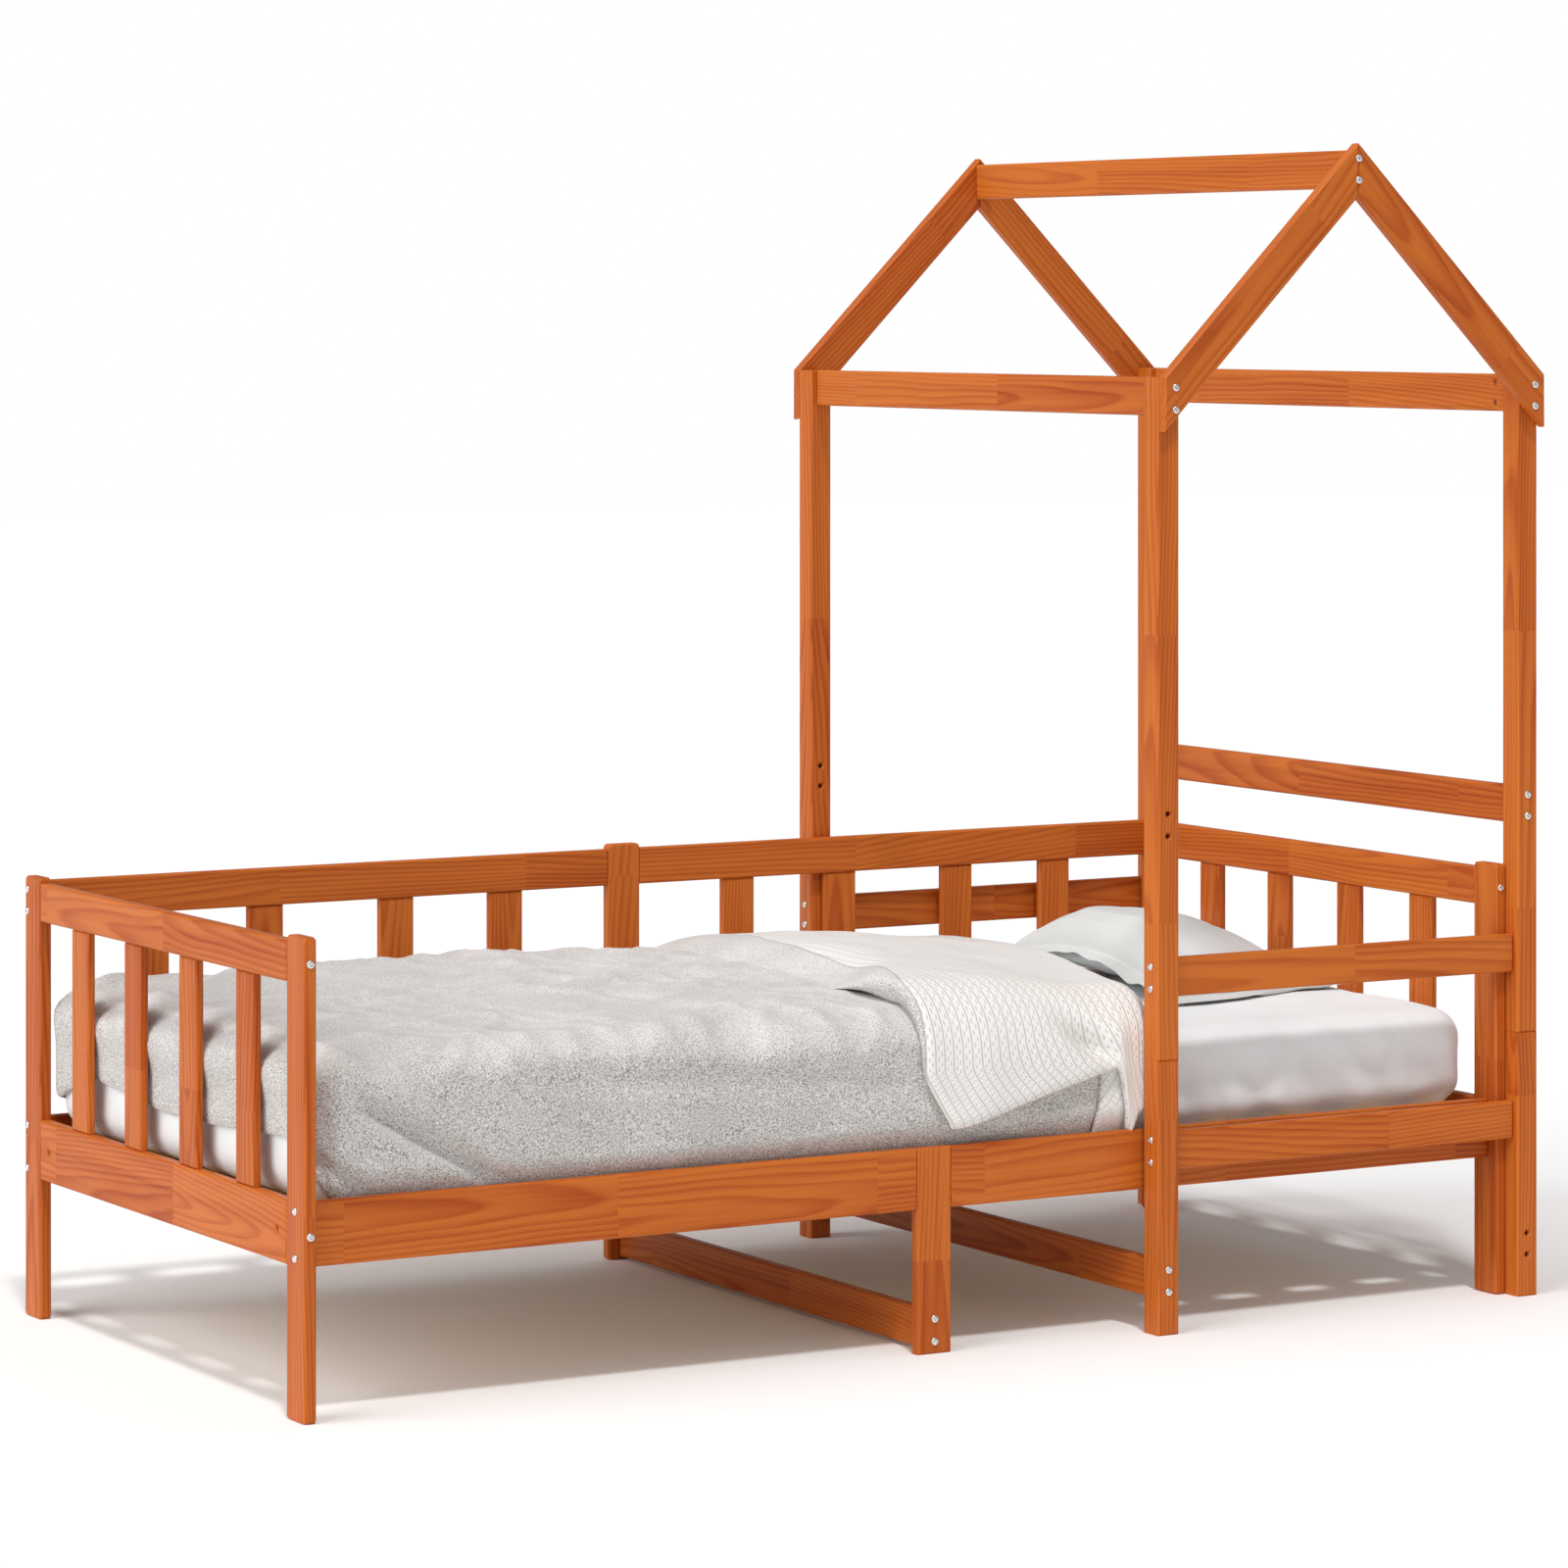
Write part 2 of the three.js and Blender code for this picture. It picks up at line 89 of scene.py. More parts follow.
def make_world():
    world = bpy.data.worlds.new("studio")
    world.use_nodes = True
    t = Tree(world.node_tree)
    seen = t.node("ShaderNodeLightPath").outputs["Is Camera Ray"]
    strength = t.add(t.mul(seen, BACKDROP - AMBIENT), AMBIENT)
    t.feed(world.node_tree.nodes["Background"], {"Color": WHITE, "Strength": strength})
    bpy.context.scene.world = world
    bpy.context.scene.view_settings.view_transform = "Standard"


def make_lamps():
    for name, strength, travel, spread in LAMPS:
        lamp = link(bpy.data.objects.new(name, bpy.data.lights.new(name, "SUN")))
        lamp.data.energy = strength
        lamp.data.angle = math.radians(spread)
        lamp.rotation_euler = Vector(travel).to_track_quat("-Z", "Y").to_euler()


def make_floor():
    half = FLOOR_HALF_SIZE
    mesh = bpy.data.meshes.new("floor")
    corners = [(-half, -half, 0), (half, -half, 0), (half, half, 0), (-half, half, 0)]
    mesh.from_pydata(corners, [], [(0, 1, 2, 3)])
    floor = link(bpy.data.objects.new("floor", mesh))
    material, t, shader = new_material("floor_paint")
    t.feed(shader, {"Base Color": WHITE, "Roughness": 0.9, "Specular IOR Level": 0.0})
    mesh.materials.append(material)


# ---------------------------------------------------------------- node-tree helper

class Tree:
    """A thin wrapper that makes shader nodes and links them in one call."""

    def __init__(self, tree):
        self.tree = tree

    def node(self, kind, inputs=None, **settings):
        made = self.tree.nodes.new(kind)
        for key, value in settings.items():
            setattr(made, key, value)
        self.feed(made, inputs or {})
        return made

    def feed(self, node, inputs):
        """Links or sets a node's inputs."""
        for key, value in inputs.items():
            socket = node.inputs[key]
            if isinstance(value, bpy.types.NodeSocket):
                self.tree.links.new(value, socket)
            else:
                socket.default_value = value

    def math(self, operation, first, second=0.0, clamp=False):
        made = self.node("ShaderNodeMath", {0: first, 1: second}, operation=operation)
        made.use_clamp = clamp
        return made.outputs[0]

    def add(self, first, second, clamp=False):
        return self.math("ADD", first, second, clamp)

    def sub(self, first, second):
        return self.math("SUBTRACT", first, second)

    def mul(self, first, second):
        return self.math("MULTIPLY", first, second)

    def swing(self, value, amount):
        """A value from 0 to 1 turned into a swing to both sides of zero."""
        return self.mul(self.sub(value, 0.5), amount)

    def object_place(self):
        return self.node("ShaderNodeTexCoord").outputs["Object"]

    def vector(self, operation, first, second=(0.0, 0.0, 0.0)):
        made = self.node("ShaderNodeVectorMath", {0: first, 1: second}, operation=operation)
        return made.outputs["Value" if operation == "LENGTH" else "Vector"]

    def split(self, vector):
        return self.node("ShaderNodeSeparateXYZ", {0: vector}).outputs

    def join(self, x, y, z):
        return self.node("ShaderNodeCombineXYZ", {0: x, 1: y, 2: z}).outputs[0]

    def noise(self, vector, scale, detail=2.0, roughness=0.5, output="Fac"):
        made = self.node("ShaderNodeTexNoise", {
            "Vector": vector, "Scale": scale, "Detail": detail, "Roughness": roughness,
        })
        return made.outputs[output]

    def random(self, value):
        return self.node("ShaderNodeTexWhiteNoise", {"W": value}, noise_dimensions="1D").outputs["Value"]

    def brightness(self, value, stops):
        """Brightness along a ramp of (place, brightness) stops."""
        made = self.node("ShaderNodeValToRGB", {0: value})
        ramp = made.color_ramp
        while len(ramp.elements) < len(stops):
            ramp.elements.new(0.5)
        for element, (position, level) in zip(ramp.elements, stops):
            element.position = position
            element.color = (level, level, level, 1.0)
        return self.split(made.outputs["Color"])[0]

    def mix(self, factor, first, second, blend="MIX"):
        made = self.node("ShaderNodeMix", {}, data_type="RGBA", blend_type=blend)
        for socket, value in ((made.inputs[0], factor), (made.inputs[6], first), (made.inputs[7], second)):
            if isinstance(value, bpy.types.NodeSocket):
                self.tree.links.new(value, socket)
            else:
                socket.default_value = value if isinstance(value, float) else (*value[:3], 1.0)
        return made.outputs[2]

    def smooth(self, value, low, high):
        made = self.node("ShaderNodeMapRange", {0: value, 1: low, 2: high, 3: 0.0, 4: 1.0})
        made.interpolation_type = "SMOOTHSTEP"
        return made.outputs[0]

    def bump(self, height, strength, distance):
        inputs = {"Height": height, "Strength": strength, "Distance": distance}
        return self.node("ShaderNodeBump", inputs).outputs["Normal"]


def new_material(name):
    material = bpy.data.materials.new(name)
    material.use_nodes = True
    return material, Tree(material.node_tree), material.node_tree.nodes["Principled BSDF"]


make_camera()
make_world()
make_lamps()
make_floor()


# ---------------------------------------------------------------- wood

WOOD_LIGHT = (0.590, 0.152, 0.021)
WOOD_DARK = (0.335, 0.040, 0.0035)
WOOD_KNOT = (0.110, 0.022, 0.008)
BARE_LIGHT = (0.780, 0.560, 0.330)
BARE_DARK = (0.560, 0.330, 0.150)
RING_SPACING = 0.0058
BLOCK_LENGTH = 0.43          # the planks are finger-jointed from blocks about this long
KNOT_RARITY = 0.88           # the share of the pattern's cells that have no knot
# brightness across one growth ring, from pale early wood to dark late wood
RING_STOPS = ((0.0, 0.25), (0.10, 0.02), (0.45, 0.22), (0.78, 0.85), (0.90, 1.0), (1.0, 0.25))


def stretched(t, place, along, across):
    """A place scaled along the grain and across it."""
    x, y, z = place
    return t.join(t.mul(x, along), t.mul(y, across), t.mul(z, across))


def pine_cut(t, x, seed):
    """Three random numbers for each finger-jointed block, since each is cut from another place in a tree."""
    along = t.add(t.math("DIVIDE", x, BLOCK_LENGTH), t.mul(seed, 3.7))
    block = t.add(t.math("FLOOR", along), t.mul(seed, 17.0))
    return t.random(block), t.random(t.add(block, 31.7)), t.random(t.add(block, 63.1))


def pine_knots(t, place, offset):
    """The grain's swelling round the knots, and the knots, which are drawn only in a few cells."""
    x, y, z = place
    cells = t.join(t.add(t.mul(x, 4.2), t.mul(offset, 7.0)), t.mul(y, 9.0), t.mul(z, 9.0))
    voronoi = t.node("ShaderNodeTexVoronoi", {"Vector": cells, "Scale": 1.0, "Randomness": 1.0}).outputs
    chosen = t.math("GREATER_THAN", t.split(voronoi["Color"])[0], KNOT_RARITY)
    swelling = t.mul(chosen, t.smooth(voronoi["Distance"], 0.34, 0.02))
    return swelling, t.mul(chosen, t.smooth(voronoi["Distance"], 0.085, 0.055))


def pine_rings(t, place, cut, swelling):
    """Growth rings round the heart of the tree, which runs at a slant through the plank."""
    x, y, z = place
    first, second, third = cut
    # slow wander of the grain, stretched along the plank
    slow = t.join(t.mul(x, 1.1), t.add(t.mul(y, 7.0), t.mul(first, 9.0)), t.mul(z, 7.0))
    wander = t.vector("SUBTRACT", t.noise(slow, 1.6, 2.0, output="Color"), (0.5, 0.5, 0.5))
    _, wander_y, wander_z = t.split(wander)
    tilt_y = t.mul(x, t.swing(second, 0.10))
    tilt_z = t.mul(x, t.swing(third, 0.10))
    heart_y = t.swing(first, 0.14)
    heart_z = t.add(t.mul(third, 0.07), 0.022)
    ring_y = t.add(t.add(y, heart_y), t.add(tilt_y, t.mul(wander_y, 0.020)))
    ring_z = t.add(t.add(z, heart_z), t.add(tilt_z, t.mul(wander_z, 0.020)))
    radius = t.add(t.vector("LENGTH", t.join(0.0, ring_y, ring_z)), t.mul(swelling, 0.008))
    return t.brightness(t.math("FRACT", t.math("DIVIDE", radius, RING_SPACING)), RING_STOPS)


def pine_group():
    """Solid pine figure: growth rings, fibres, knots and finger-jointed blocks.

    The Vector input runs along the grain in X. Color, Height and Tone leave the group.
    """
    group = bpy.data.node_groups.new("pine", "ShaderNodeTree")
    for name, side, kind in (
        ("Vector", "INPUT", "Vector"), ("Seed", "INPUT", "Float"),
        ("Light", "INPUT", "Color"), ("Dark", "INPUT", "Color"), ("Knot", "INPUT", "Color"),
        ("Color", "OUTPUT", "Color"), ("Height", "OUTPUT", "Float"), ("Tone", "OUTPUT", "Float"),
    ):
        group.interface.new_socket(name, in_out=side, socket_type=f"NodeSocket{kind}")
    t = Tree(group)
    given = group.nodes.new("NodeGroupInput").outputs
    place = t.split(given["Vector"])
    cut = pine_cut(t, place[0], given["Seed"])
    swelling, knot = pine_knots(t, place, cut[1])
    ring = pine_rings(t, place, cut, swelling)
    fibre = t.noise(stretched(t, place, 5.0, 300.0), 1.0, 3.0, 0.6)
    streak = t.noise(stretched(t, place, 2.0, 60.0), 1.0, 2.0, 0.5)
    broad = t.noise(stretched(t, place, 1.5, 8.0), 1.0, 1.0)

    depth = t.add(t.mul(ring, 0.52), t.swing(streak, 0.9))
    depth = t.add(depth, t.swing(broad, 0.7))
    depth = t.add(depth, t.swing(cut[1], 0.34))
    depth = t.add(depth, t.swing(fibre, 0.35))
    depth = t.add(depth, 0.10, clamp=True)
    color = t.mix(depth, given["Light"], given["Dark"])
    color = t.mix(t.mul(swelling, 0.35), color, given["Dark"])
    color = t.mix(t.mul(knot, 0.85), color, given["Knot"])
    height = t.add(t.mul(ring, 0.35), t.mul(fibre, 0.65))
    t.feed(group.nodes.new("NodeGroupOutput"), {"Color": color, "Height": height, "Tone": depth})
    return group


PINE = pine_group()


def grain_turn(low, high, slope=0.0):
    """The rotation that brings a plank's length to X and its thickness to Z."""
    if slope:
        return Matrix(((1, 0, 0), (0, 0, 1), (0, -1, 0))) @ Euler((0.0, slope, 0.0)).to_matrix()
    size = [high[i] - low[i] for i in range(3)]
    order = sorted(range(3), key=lambda i: -size[i])
    rows = [[0.0] * 3 for _ in range(3)]
    for row, axis in enumerate(order):
        rows[row][axis] = 1.0
    turn = Matrix(rows)
    if turn.determinant() < 0:
        turn[2] = -turn[2]
    return turn


def wood_material(name, low, high, seed, slope=0.0, bare=False):
    material, t, shader = new_material(name)
    turn = grain_turn(low, high, slope)
    centre = Vector([(low[i] + high[i]) / 2 for i in range(3)])
    coordinates = t.object_place()
    mapping = t.node("ShaderNodeMapping", {
        "Vector": coordinates, "Location": -(turn @ centre), "Rotation": turn.to_euler(),
    })
    tones = (BARE_LIGHT, BARE_DARK, BARE_DARK) if bare else (WOOD_LIGHT, WOOD_DARK, WOOD_KNOT)
    light, dark, knot = [(*tone, 1.0) for tone in tones]
    pine = t.node("ShaderNodeGroup", node_tree=PINE)
    t.feed(pine, {"Vector": mapping.outputs[0], "Seed": seed, "Light": light, "Dark": dark, "Knot": knot})
    smear = t.noise(coordinates, 9.0, 3.0)
    rough = t.add(t.mul(smear, 0.16), t.mul(pine.outputs["Tone"], 0.10))
    t.feed(shader, {
        "Base Color": pine.outputs["Color"],
        "Roughness": t.add(rough, 0.50 if bare else 0.28),
        "Normal": t.bump(pine.outputs["Height"], 0.22, 0.0006),
        "Specular IOR Level": 0.18,
    })
    return material, t, shader


def dress(piece, material):
    piece.data.materials.clear()
    piece.data.materials.append(material)


def round_edges(node, width, limit_degrees):
    """Welds a CAD mesh and bevels its corners sharper than a limit. The shape stays the same."""
    weld = node.modifiers.new("weld", "WELD")
    weld.merge_threshold = 0.00002
    bevel = node.modifiers.new("round_edges", "BEVEL")
    bevel.width = width
    bevel.segments = 2
    bevel.limit_method = "ANGLE"
    bevel.angle_limit = math.radians(limit_degrees)


SOFT_NODES = ("mattress", "duvet", "pillow")
ROOF_SLOPE = math.pi / 4


def finish_planks():
    """Every plank keeps its CAD shape, with softened edges, and gets its own piece of pine."""
    names = sorted(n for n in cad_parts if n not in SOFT_NODES and n != "slatted_base")
    for index, name in enumerate(names):
        slope = 0.0
        if name.startswith("rafter"):
            slope = ROOF_SLOPE if name.endswith("foot_side") else -ROOF_SLOPE
        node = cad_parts[name]
        seed = 0.37 + 1.618 * index
        dress(node, wood_material(f"pine_{name}", *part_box(name), seed, slope)[0])
        round_edges(node, 0.0009, 30)


SLAT_WIDTH = 0.07
TAPE_THICKNESS = 0.003


def finish_slatted_base():
    """Bare slats, each with its own grain, and cotton tape where the mesh rises above them."""
    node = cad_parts["slatted_base"]
    low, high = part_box("slatted_base")
    slat_high = (low[0] + SLAT_WIDTH, high[1], high[2])
    material, t, shader = wood_material("bare_slats", tuple(low), slat_high, 5.3, bare=True)
    coordinates = t.object_place()
    is_tape = t.math("GREATER_THAN", t.split(coordinates)[2], high[2] - TAPE_THICKNESS + 0.0002)
    pine_color = shader.inputs["Base Color"].links[0].from_socket
    weave = t.noise(coordinates, 900.0, 1.0)
    cotton = t.mix(weave, (0.62, 0.60, 0.55), (0.80, 0.78, 0.73))
    t.feed(shader, {"Base Color": t.mix(is_tape, pine_color, cotton)})
    dress(node, material)
    round_edges(node, 0.001, 40)


finish_planks()
finish_slatted_base()


# ---------------------------------------------------------------- bolts and barrel nuts

BOLT_RADIUS = 0.0058
BOLT_HEIGHT = 0.0028
BOLT_SKIRT = 0.0007           # height of the head's upright rim, under the dome
DOME_CROWN = 0.0012           # radius of the flat crown that the dome's curve ends on
DOME_SWEEP = math.radians(62)
DOME_STEPS = 6
SOCKET_FLAT = 0.0021          # half of the hex socket's width across flats
SOCKET_DEPTH = 0.0019
SOCKET_CHAMFER = 0.00015
SIDES = 36
HOLE_SPREAD = 0.033           # two bolts in a 58 mm rail
TALL_HOLE_SPREAD = 0.065      # two bolts in a 90 mm rail
NUT_RADIUS = 0.0037
NUT_LENGTH = 0.009
NUT_EDGE = 0.0004
NUT_SLOT_HALF_WIDTH = 0.0008
NUT_SLOT_DEPTH = 0.0012
NUT_SETBACK = 0.032


def zinc_material():
    material, t, shader = new_material("zinc")
    cloud = t.noise(t.object_place(), 260.0, 3.0)
    t.feed(shader, {
        "Base Color": t.mix(cloud, (0.66, 0.67, 0.69), (0.82, 0.83, 0.84)),
        "Roughness": t.add(t.mul(cloud, 0.18), 0.16),
        "Metallic": 1.0,
    })
    return material


def lathe_rings(rings):
    """A closed mesh from rings of (radius, height), where radius may be a function of the angle."""
    made = bmesh.new()
    loops = []
    for radius, height in rings:
        loop = []
        for side in range(SIDES):
            angle = 2 * math.pi * side / SIDES
            reach = radius(angle) if callable(radius) else radius
            loop.append(made.verts.new((reach * math.cos(angle), reach * math.sin(angle), height)))
        loops.append(loop)
    for lower, upper in zip(loops, loops[1:]):
        for side in range(SIDES):
            following = (side + 1) % SIDES
            made.faces.new((lower[side], lower[following], upper[following], upper[side]))
    made.faces.new(list(reversed(loops[0])))
    made.faces.new(loops[-1])
    return made


def hexagon(angle):
    """The reach of a hex socket's wall at an angle."""
    third = math.pi / 3
    return SOCKET_FLAT / math.cos((angle % third) - third / 2)


def slot_edge(angle):
    """The reach of the screwdriver slot in a barrel nut's end."""
    return min(NUT_RADIUS - 2 * NUT_EDGE, NUT_SLOT_HALF_WIDTH / max(abs(math.sin(angle)), 0.05))


def bolt_mesh():
    rings = [(BOLT_RADIUS * 0.96, -0.0004), (BOLT_RADIUS, 0.0002), (BOLT_RADIUS, BOLT_SKIRT)]
    for step in range(1, DOME_STEPS + 1):
        angle = step / DOME_STEPS * DOME_SWEEP
        rise = math.sin(angle) / math.sin(DOME_SWEEP)
        rings.append((DOME_CROWN + (BOLT_RADIUS - DOME_CROWN) * math.cos(angle),
                      BOLT_SKIRT + (BOLT_HEIGHT - BOLT_SKIRT) * rise))
    rings.append((lambda angle: hexagon(angle) * 1.06, BOLT_HEIGHT))
    rings.append((hexagon, BOLT_HEIGHT - SOCKET_CHAMFER))
    rings.append((hexagon, BOLT_HEIGHT - SOCKET_DEPTH))
    made = lathe_rings(rings)
    for face in made.faces:
        face.smooth = len(face.verts) == 4
    return to_mesh(made, "bolt")


def nut_mesh():
    """A barrel nut: a short steel cylinder with a screwdriver slot across its end."""
    half = NUT_LENGTH / 2
    narrow = NUT_RADIUS - NUT_EDGE
    made = lathe_rings([
        (narrow, -half), (NUT_RADIUS, -half + NUT_EDGE), (NUT_RADIUS, half - NUT_EDGE),
        (narrow, half), (slot_edge, half), (slot_edge, half - NUT_SLOT_DEPTH),
    ])
    return to_mesh(made, "barrel_nut")


def to_mesh(made, name):
    bmesh.ops.recalc_face_normals(made, faces=made.faces)
    mesh = bpy.data.meshes.new(name)
    made.to_mesh(mesh)
    made.free()
    mesh.materials.append(ZINC)
    return mesh


ZINC = zinc_material()
BOLT_MESH = bolt_mesh()
NUT_MESH = nut_mesh()


def place_fastener(mesh, name, place, facing):
    piece = link(bpy.data.objects.new(name, mesh))
    turn = Vector(facing).to_track_quat("Z", "Y").to_matrix().to_4x4()
    spin = Matrix.Rotation(random.Random(name).uniform(0, math.pi / 3), 4, "Z")
    piece.matrix_world = Matrix.Translation(place) @ turn @ spin
    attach(piece, FRAME_BODY)


def middle(name, axis):
    low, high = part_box(name)
    return (low[axis] + high[axis]) / 2


def bolt(label, face_node, axis, sign, across, height):
    """One bolt on the face of a node that looks along an axis."""
    low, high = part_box(face_node)
    place = [0.0, 0.0, height]
    place[axis] = high[axis] if sign > 0 else low[axis]
    place[1 - axis] = across
    facing = [0.0, 0.0, 0.0]
    facing[axis] = sign
    place_fastener(BOLT_MESH, f"bolt_{label}", place, facing)


def bolt_pair(label, face_node, axis, sign, rail, spread=HOLE_SPREAD, lower=0.0):
    """Two bolts, one above the other, in line with a rail that ends behind the face."""
    for index, offset in enumerate((-spread / 2, spread / 2)):
        height = middle(rail, 2) - lower + offset
        bolt(f"{label}_{index + 1}", face_node, axis, sign, middle(rail, 1 - axis), height)


def house_bolts():
    for side, sign in (("front", -1), ("back", 1)):
        post = f"house_post_{side}"
        for rail, part in (("guard_rail", "upper"), ("house_bottom_rail", "lower")):
            name = f"{rail}_{side}"
            bolt_pair(f"{name}_inner", f"{post}_inner_{part}", 0, -1, name)
            bolt_pair(f"{name}_head", f"{post}_head_{part}", 0, 1, name)
        bolt_pair(f"head_upper_rail_{side}", f"{post}_head_upper", 1, sign, "head_upper_rail")
        bolt_pair(f"house_stretcher_{side}", f"{post}_inner_lower", 1, sign, "house_stretcher")
        for end, rail in (("foot_side", "eave_rail_inner"), ("head_side", "eave_rail_head")):
            bolt_pair(f"{rail}_{side}", f"rafter_{side}_{end}", 1, sign, rail, lower=0.003)
        bolt_pair(f"ridge_{side}", f"rafter_{side}_foot_side", 1, sign, "ridge_beam")


def bed_bolts():
    for end, sign in (("foot", -1), ("head", 1)):
        for side, side_sign in (("front", -1), ("back", 1)):
            post = f"{end}_{side}_post"
            for rail in ("top_rail", "bottom_rail"):
                height = middle(f"{end}_{rail}", 2)
                bolt(f"{end}_{rail}_{side}", post, 1, side_sign, middle(post, 0), height)
        for rail, side, spread in (("front_rail", "front", TALL_HOLE_SPREAD),
                                   ("back_top_rail", "back", HOLE_SPREAD),
                                   ("back_bottom_rail", "back", TALL_HOLE_SPREAD)):
            bolt_pair(f"{rail}_{end}", f"{end}_{side}_post", 0, sign, f"{rail}_{end}_half", spread)
    for post, sign in (("front_center_leg", -1), ("back_center_post", 1)):
        bolt_pair(f"center_stretcher_{post}", post, 1, sign, "center_stretcher")


def nuts_in_rail(label, rail, levels):
    """Barrel nuts near both ends of a rail that runs across the bed, with a name ending for each level."""
    low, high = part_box(rail)
    for index, across in enumerate((low[1] + NUT_SETBACK, high[1] - NUT_SETBACK)):
        for ending, offset in levels.items():
            place = (middle(rail, 0), across, middle(rail, 2) + offset)
            place_fastener(NUT_MESH, f"barrel_nut_{label}_{index + 1}{ending}", place, (-1, 0, 0))


def barrel_nuts():
    for end in ("foot", "head"):
        nuts_in_rail(end, f"{end}_bottom_rail", {"": 0.0})
    nuts_in_rail("eave", "eave_rail_head", {"_1": -HOLE_SPREAD / 2, "_2": HOLE_SPREAD / 2})


house_bolts()
bed_bolts()
barrel_nuts()

# ---------------------------------------------------------------- bedding: shapes shared by its pieces

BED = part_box("foot_front_post")[0]      # the bed's corner on the floor, at the foot end and the open front
MATTRESS_LOW, MATTRESS_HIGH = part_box("mattress")
CLEAR = 2 * MM                          # between the mattress and what lies on it
EDGE_TURN = 34 * MM                     # radius at which the duvet turns over the mattress edge
CORNER_TURN = 46 * MM                   # the same in plan, at the foot corners
FLAT_REACH = CORNER_TURN - EDGE_TURN    # level stretch between the corner's centre and the turn
TOP = MATTRESS_HIGH.z + CLEAR
FOOT_LINE = MATTRESS_LOW.x + CORNER_TURN
FRONT_LINE = MATTRESS_LOW.y - CLEAR + CORNER_TURN
BACK_LINE = MATTRESS_HIGH.y + CLEAR - CORNER_TURN


def along_bed(x):
    """Metres in the frame for a distance in millimetres from the foot end."""
    return BED.x + x * MM


def across_bed(y):
    """Metres in the frame for a distance in millimetres from the open front."""
    return BED.y + y * MM


def ease(value, low, high):
    """0 below low, 1 above high and a smooth rise between."""
    t = np.clip((value - low) / (high - low), 0.0, 1.0)
    return t * t * (3 - 2 * t)


def through(value, stops):
    """Straight pieces between (place, height) stops."""
    places, heights = zip(*stops)
    return np.interp(value, places, heights)


def ripple(points, size, seed):
    """Smooth noise from -1 to 1 at each point. size gives the wavelength along each axis."""
    scaled = points / np.asarray(size) + seed * 13.7
    flat = scaled.reshape(-1, 3)
    return np.array([noise.noise(p) for p in flat.tolist()]).reshape(scaled.shape[:-1])


def folds(points, size, seed, sharpness=2.0):
    """Noise with narrow ridges, from 0 to 1, like the folds of a soft cloth."""
    return np.clip(1 - np.abs(ripple(points, size, seed)) * sharpness, 0, 1) ** 2


def rim_rows(rim, step):
    """Shares from 0 to 1: close together over a rounded rim at 0, then even."""
    turn = [rim * (1 - math.cos(math.radians(a))) for a in (0, 18, 36, 54, 72, 90)]
    count = max(2, round((1.0 - turn[-1]) / step))
    even = [turn[-1] + (1.0 - turn[-1]) * k / count for k in range(1, count)]
    return np.array(turn + even + [1.0])


def in_columns(front_rows, middle_rows, back_rows):
    """Columns from the front hem to the back one: the share past a corner line, the side (-1, 0, 1) and y."""
    level = np.zeros(len(middle_rows))
    past_side = np.concatenate([1 - front_rows, level, (1 - back_rows)[::-1]])
    side = np.concatenate([-np.ones(len(front_rows)), level, np.ones(len(back_rows))])
    front, back = np.full(len(front_rows), FRONT_LINE), np.full(len(back_rows), BACK_LINE)
    return past_side[None, :], side[None, :], np.concatenate([front, middle_rows, back])[None, :]


def slab_mesh(name, outer, inner, **uv_sets):
    """A closed skin from two grids of points that meet along their rims. uv_sets hold UVs in metres."""
    rows, columns = outer.shape[:2]
    count = rows * columns
    upper = np.arange(count).reshape(rows, columns)
    lower = upper + count
    for edge in (np.s_[0, :], np.s_[-1, :], np.s_[:, 0], np.s_[:, -1]):
        lower[edge] = upper[edge]

    def quads(ids):
        return np.stack([ids[:-1, :-1], ids[1:, :-1], ids[1:, 1:], ids[:-1, 1:]], axis=-1).reshape(-1, 4)

    faces = np.concatenate([quads(upper), quads(lower)[:, ::-1]])
    points = np.concatenate([outer.reshape(-1, 3), inner.reshape(-1, 3)])
    used, renumbered = np.unique(faces, return_inverse=True)
    mesh = bpy.data.meshes.new(name)
    mesh.from_pydata(points[used].tolist(), [], renumbered.reshape(-1, 4).tolist())
    for key, grid in uv_sets.items():
        both = np.tile(grid.reshape(-1, 2), (2, 1))
        layer = mesh.uv_layers.new(name=key)
        layer.data.foreach_set("uv", both[faces.reshape(-1)].astype(np.float32).ravel())
    made = bmesh.new()
    made.from_mesh(mesh)
    bmesh.ops.recalc_face_normals(made, faces=made.faces)
    made.to_mesh(mesh)
    made.free()
    mesh.polygons.foreach_set("use_smooth", [True] * len(mesh.polygons))
    return link(bpy.data.objects.new(name, mesh))


def rounded(distance, rim):
    """How much of its thickness a pad has at a distance from its edge, with a rounded rim."""
    t = np.clip(distance / rim, 0.0, 1.0)
    return np.sqrt(np.clip(1 - (1 - t) ** 2, 0.0, 1.0))


def vertex_places(mesh):
    flat = np.empty(len(mesh.vertices) * 3)
    mesh.vertices.foreach_get("co", flat)
    return flat.reshape(-1, 3)


def add_cloth(piece, frames, grow, pressure, hold, bending):
    cloth = piece.modifiers.new("cloth", "CLOTH")
    settings = cloth.settings
    settings.quality = 5
    settings.mass = 0.25
    settings.tension_stiffness = settings.compression_stiffness = 18
    settings.shear_stiffness = 8
    settings.bending_stiffness = bending
    settings.air_damping = 2.0
    settings.effector_weights.gravity = 0.0
    settings.shrink_min = -grow
    settings.use_pressure = pressure > 0
    settings.uniform_pressure_force = pressure
    cloth.collision_settings.use_collision = False
    if hold > 0:
        group = piece.vertex_groups.new(name="hold")
        group.add(list(range(len(piece.data.vertices))), hold, "REPLACE")
        settings.vertex_group_mass = "hold"
        settings.pin_stiffness = 1.0
    cloth.point_cache.frame_end = frames
    return cloth


